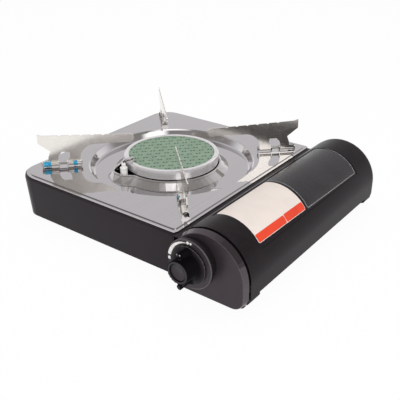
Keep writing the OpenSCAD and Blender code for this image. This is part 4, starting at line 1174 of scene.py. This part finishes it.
@dataclass
class Studio:
    """Camera, floor and soft light."""

    camera_at: Triple = (0.4217, -0.53, 0.3705)
    azimuth: float = 37.34
    elevation: float = 27.43
    roll: float = -0.54
    focal_px: float = 642.3
    width_px: float = 400.0
    sensor_mm: float = 36.0
    clip: Pair = (0.02, 60.0)
    floor_size: float = 14.0
    floor_white: float = 0.95
    sky_low: Colour = (1.0, 1.0, 1.0)
    sky_back: Colour = (0.72, 0.705, 0.72)
    sky_front: Colour = (0.33, 0.315, 0.31)
    sky_from: float = 0.12
    sky_to: float = 0.36
    front_from: float = -0.5
    front_to: float = -0.05
    spot: Colour = (1.75, 1.73, 1.7)
    spot_turn: float = -25.0
    spot_up: float = 27.0
    spot_from: float = 0.93
    spot_to: float = 0.985
    glow: Colour = (1.9, 1.87, 1.85)
    glow_from: float = 0.965
    glow_to: float = 1.005
    lamps: tuple[tuple[str, Triple, Triple, float, float], ...] = (
        ("top_box", (-0.25, 0.25, 1.5), (0.0, 0.0, 0.0), 1.3, 9.0),
        ("front_box", (0.9, -1.0, 0.75), (0.0, 0.0, 0.03), 0.9, 11.0),
    )

    def build(self) -> None:
        """Sets up everything round the stove."""
        self._camera()
        self._floor()
        self._world()
        self._lamps()
        bpy.context.scene.view_settings.view_transform = "Standard"

    def _camera(self) -> None:
        """Places the camera as the photograph's was found to stand."""
        data = bpy.data.cameras.new("photo_camera")
        data.sensor_width = self.sensor_mm
        data.lens = self.focal_px * self.sensor_mm / self.width_px
        data.clip_start, data.clip_end = self.clip
        camera = bpy.data.objects.new("photo_camera", data)
        bpy.context.scene.collection.objects.link(camera)
        a, e, r = (math.radians(v) for v in (self.azimuth, self.elevation, self.roll))
        back = Vector((math.sin(a) * math.cos(e), -math.cos(a) * math.cos(e), math.sin(e)))
        right = (-back).cross(Vector((0.0, 0.0, 1.0))).normalized()
        up = right.cross(-back)
        turned_right = right * math.cos(r) + up * math.sin(r)
        turned_up = up * math.cos(r) - right * math.sin(r)
        basis = Matrix((turned_right, turned_up, back)).transposed().to_4x4()
        camera.matrix_world = Matrix.Translation(self.camera_at) @ basis
        bpy.context.scene.camera = camera

    def _floor(self) -> None:
        """Adds the pale floor, which looks white to the camera and keeps a soft shadow."""
        Bench.clear()
        bpy.ops.mesh.primitive_plane_add(size=self.floor_size, location=(0.0, 0.0, 0.0))
        floor = bpy.context.object
        floor.name = "studio_floor"
        coat = Coat("studio_floor")
        coat.set(base_color=(0.86, 0.86, 0.86), roughness=0.9, specular_ior_level=0.1)
        seen = coat.math("MULTIPLY", self._seen(coat), self.floor_white)
        coat.join(coat.blended(seen, coat.shader, coat.add("Emission")), coat.out)
        floor.data.materials.append(coat.finish())

    @staticmethod
    def _seen(g: Graph) -> Socket:
        """1 for the rays that show the background: the camera's, and those in metal and glass."""
        path = g.add("LightPath")
        glossy = g.math("MAXIMUM", path.outputs["Is Glossy Ray"], path.outputs["Is Transmission Ray"])
        return g.math("MAXIMUM", path.outputs["Is Camera Ray"], glossy)

    def _world(self) -> None:
        """Makes the room, which is white to the camera.

        For the rest it is bright low down, darker above and in front, with a bright spot at the side and a
        soft glow overhead.
        """
        world = bpy.data.worlds.new("studio_sky")
        bpy.context.scene.world = world
        world.use_nodes = True
        g = Graph(world.node_tree)
        height = g.axes("Generated")["Z"]
        a, b, c = (math.radians(v) for v in (self.azimuth, self.spot_turn, self.spot_up))
        towards = self._along(g, (math.sin(a), -math.cos(a), 0.0))
        front = g.ranged(towards, self.front_from, self.front_to, 0.0, 1.0)
        beside = self._along(g, (math.cos(b) * math.cos(c), math.sin(b) * math.cos(c), math.sin(c)))
        spot = g.ranged(beside, self.spot_from, self.spot_to, 0.0, 1.0)
        sky = g.mixed(front, self.sky_back, self.sky_front)
        high = g.ranged(height, self.sky_from, self.sky_to, 0.0, 1.0)
        above = g.ranged(height, self.glow_from, self.glow_to, 0.0, 1.0)
        colour = g.mixed(above, g.mixed(high, self.sky_low, g.mixed(spot, sky, self.spot)), self.glow)
        soft = g.feed(g.add("Background"), color=colour, strength=1.0)
        white = g.feed(g.add("Background"), color=(1.0, 1.0, 1.0), strength=1.0)
        seen = g.add("LightPath").outputs["Is Camera Ray"]
        g.join(g.blended(seen, soft, white), g.add("OutputWorld").inputs[0])

    @staticmethod
    def _along(g: Graph, way: Triple) -> Socket:
        """Share of the room's direction that points along another."""
        dot = g.add("VectorMath", operation="DOT_PRODUCT")
        g.join(g.add("TexCoord").outputs["Generated"], dot.inputs[0])
        dot.inputs[1].default_value = way
        return dot.outputs["Value"]

    def _lamps(self) -> None:
        """Hangs the soft boxes."""
        for name, place, aim, size, power in self.lamps:
            data = bpy.data.lights.new(name, "AREA")
            data.shape = "SQUARE"
            data.size = size
            data.energy = power
            lamp = bpy.data.objects.new(name, data)
            bpy.context.scene.collection.objects.link(lamp)
            lamp.visible_glossy = False
            lamp.location = place
            lamp.rotation_euler = (Vector(place) - Vector(aim)).to_track_quat("Z", "Y").to_euler()


def main() -> None:
    """Builds the looks in order."""
    logging.basicConfig(level=logging.INFO, format="%(name)s: %(message)s")
    palette = Palette()
    palette.dress_nodes()
    CoverPanel().build(palette)
    DialMarks().build(palette)
    KnobShape().build(palette)
    FilmScraps().build(palette)
    Studio().build()


if __name__ == "__main__":
    main()
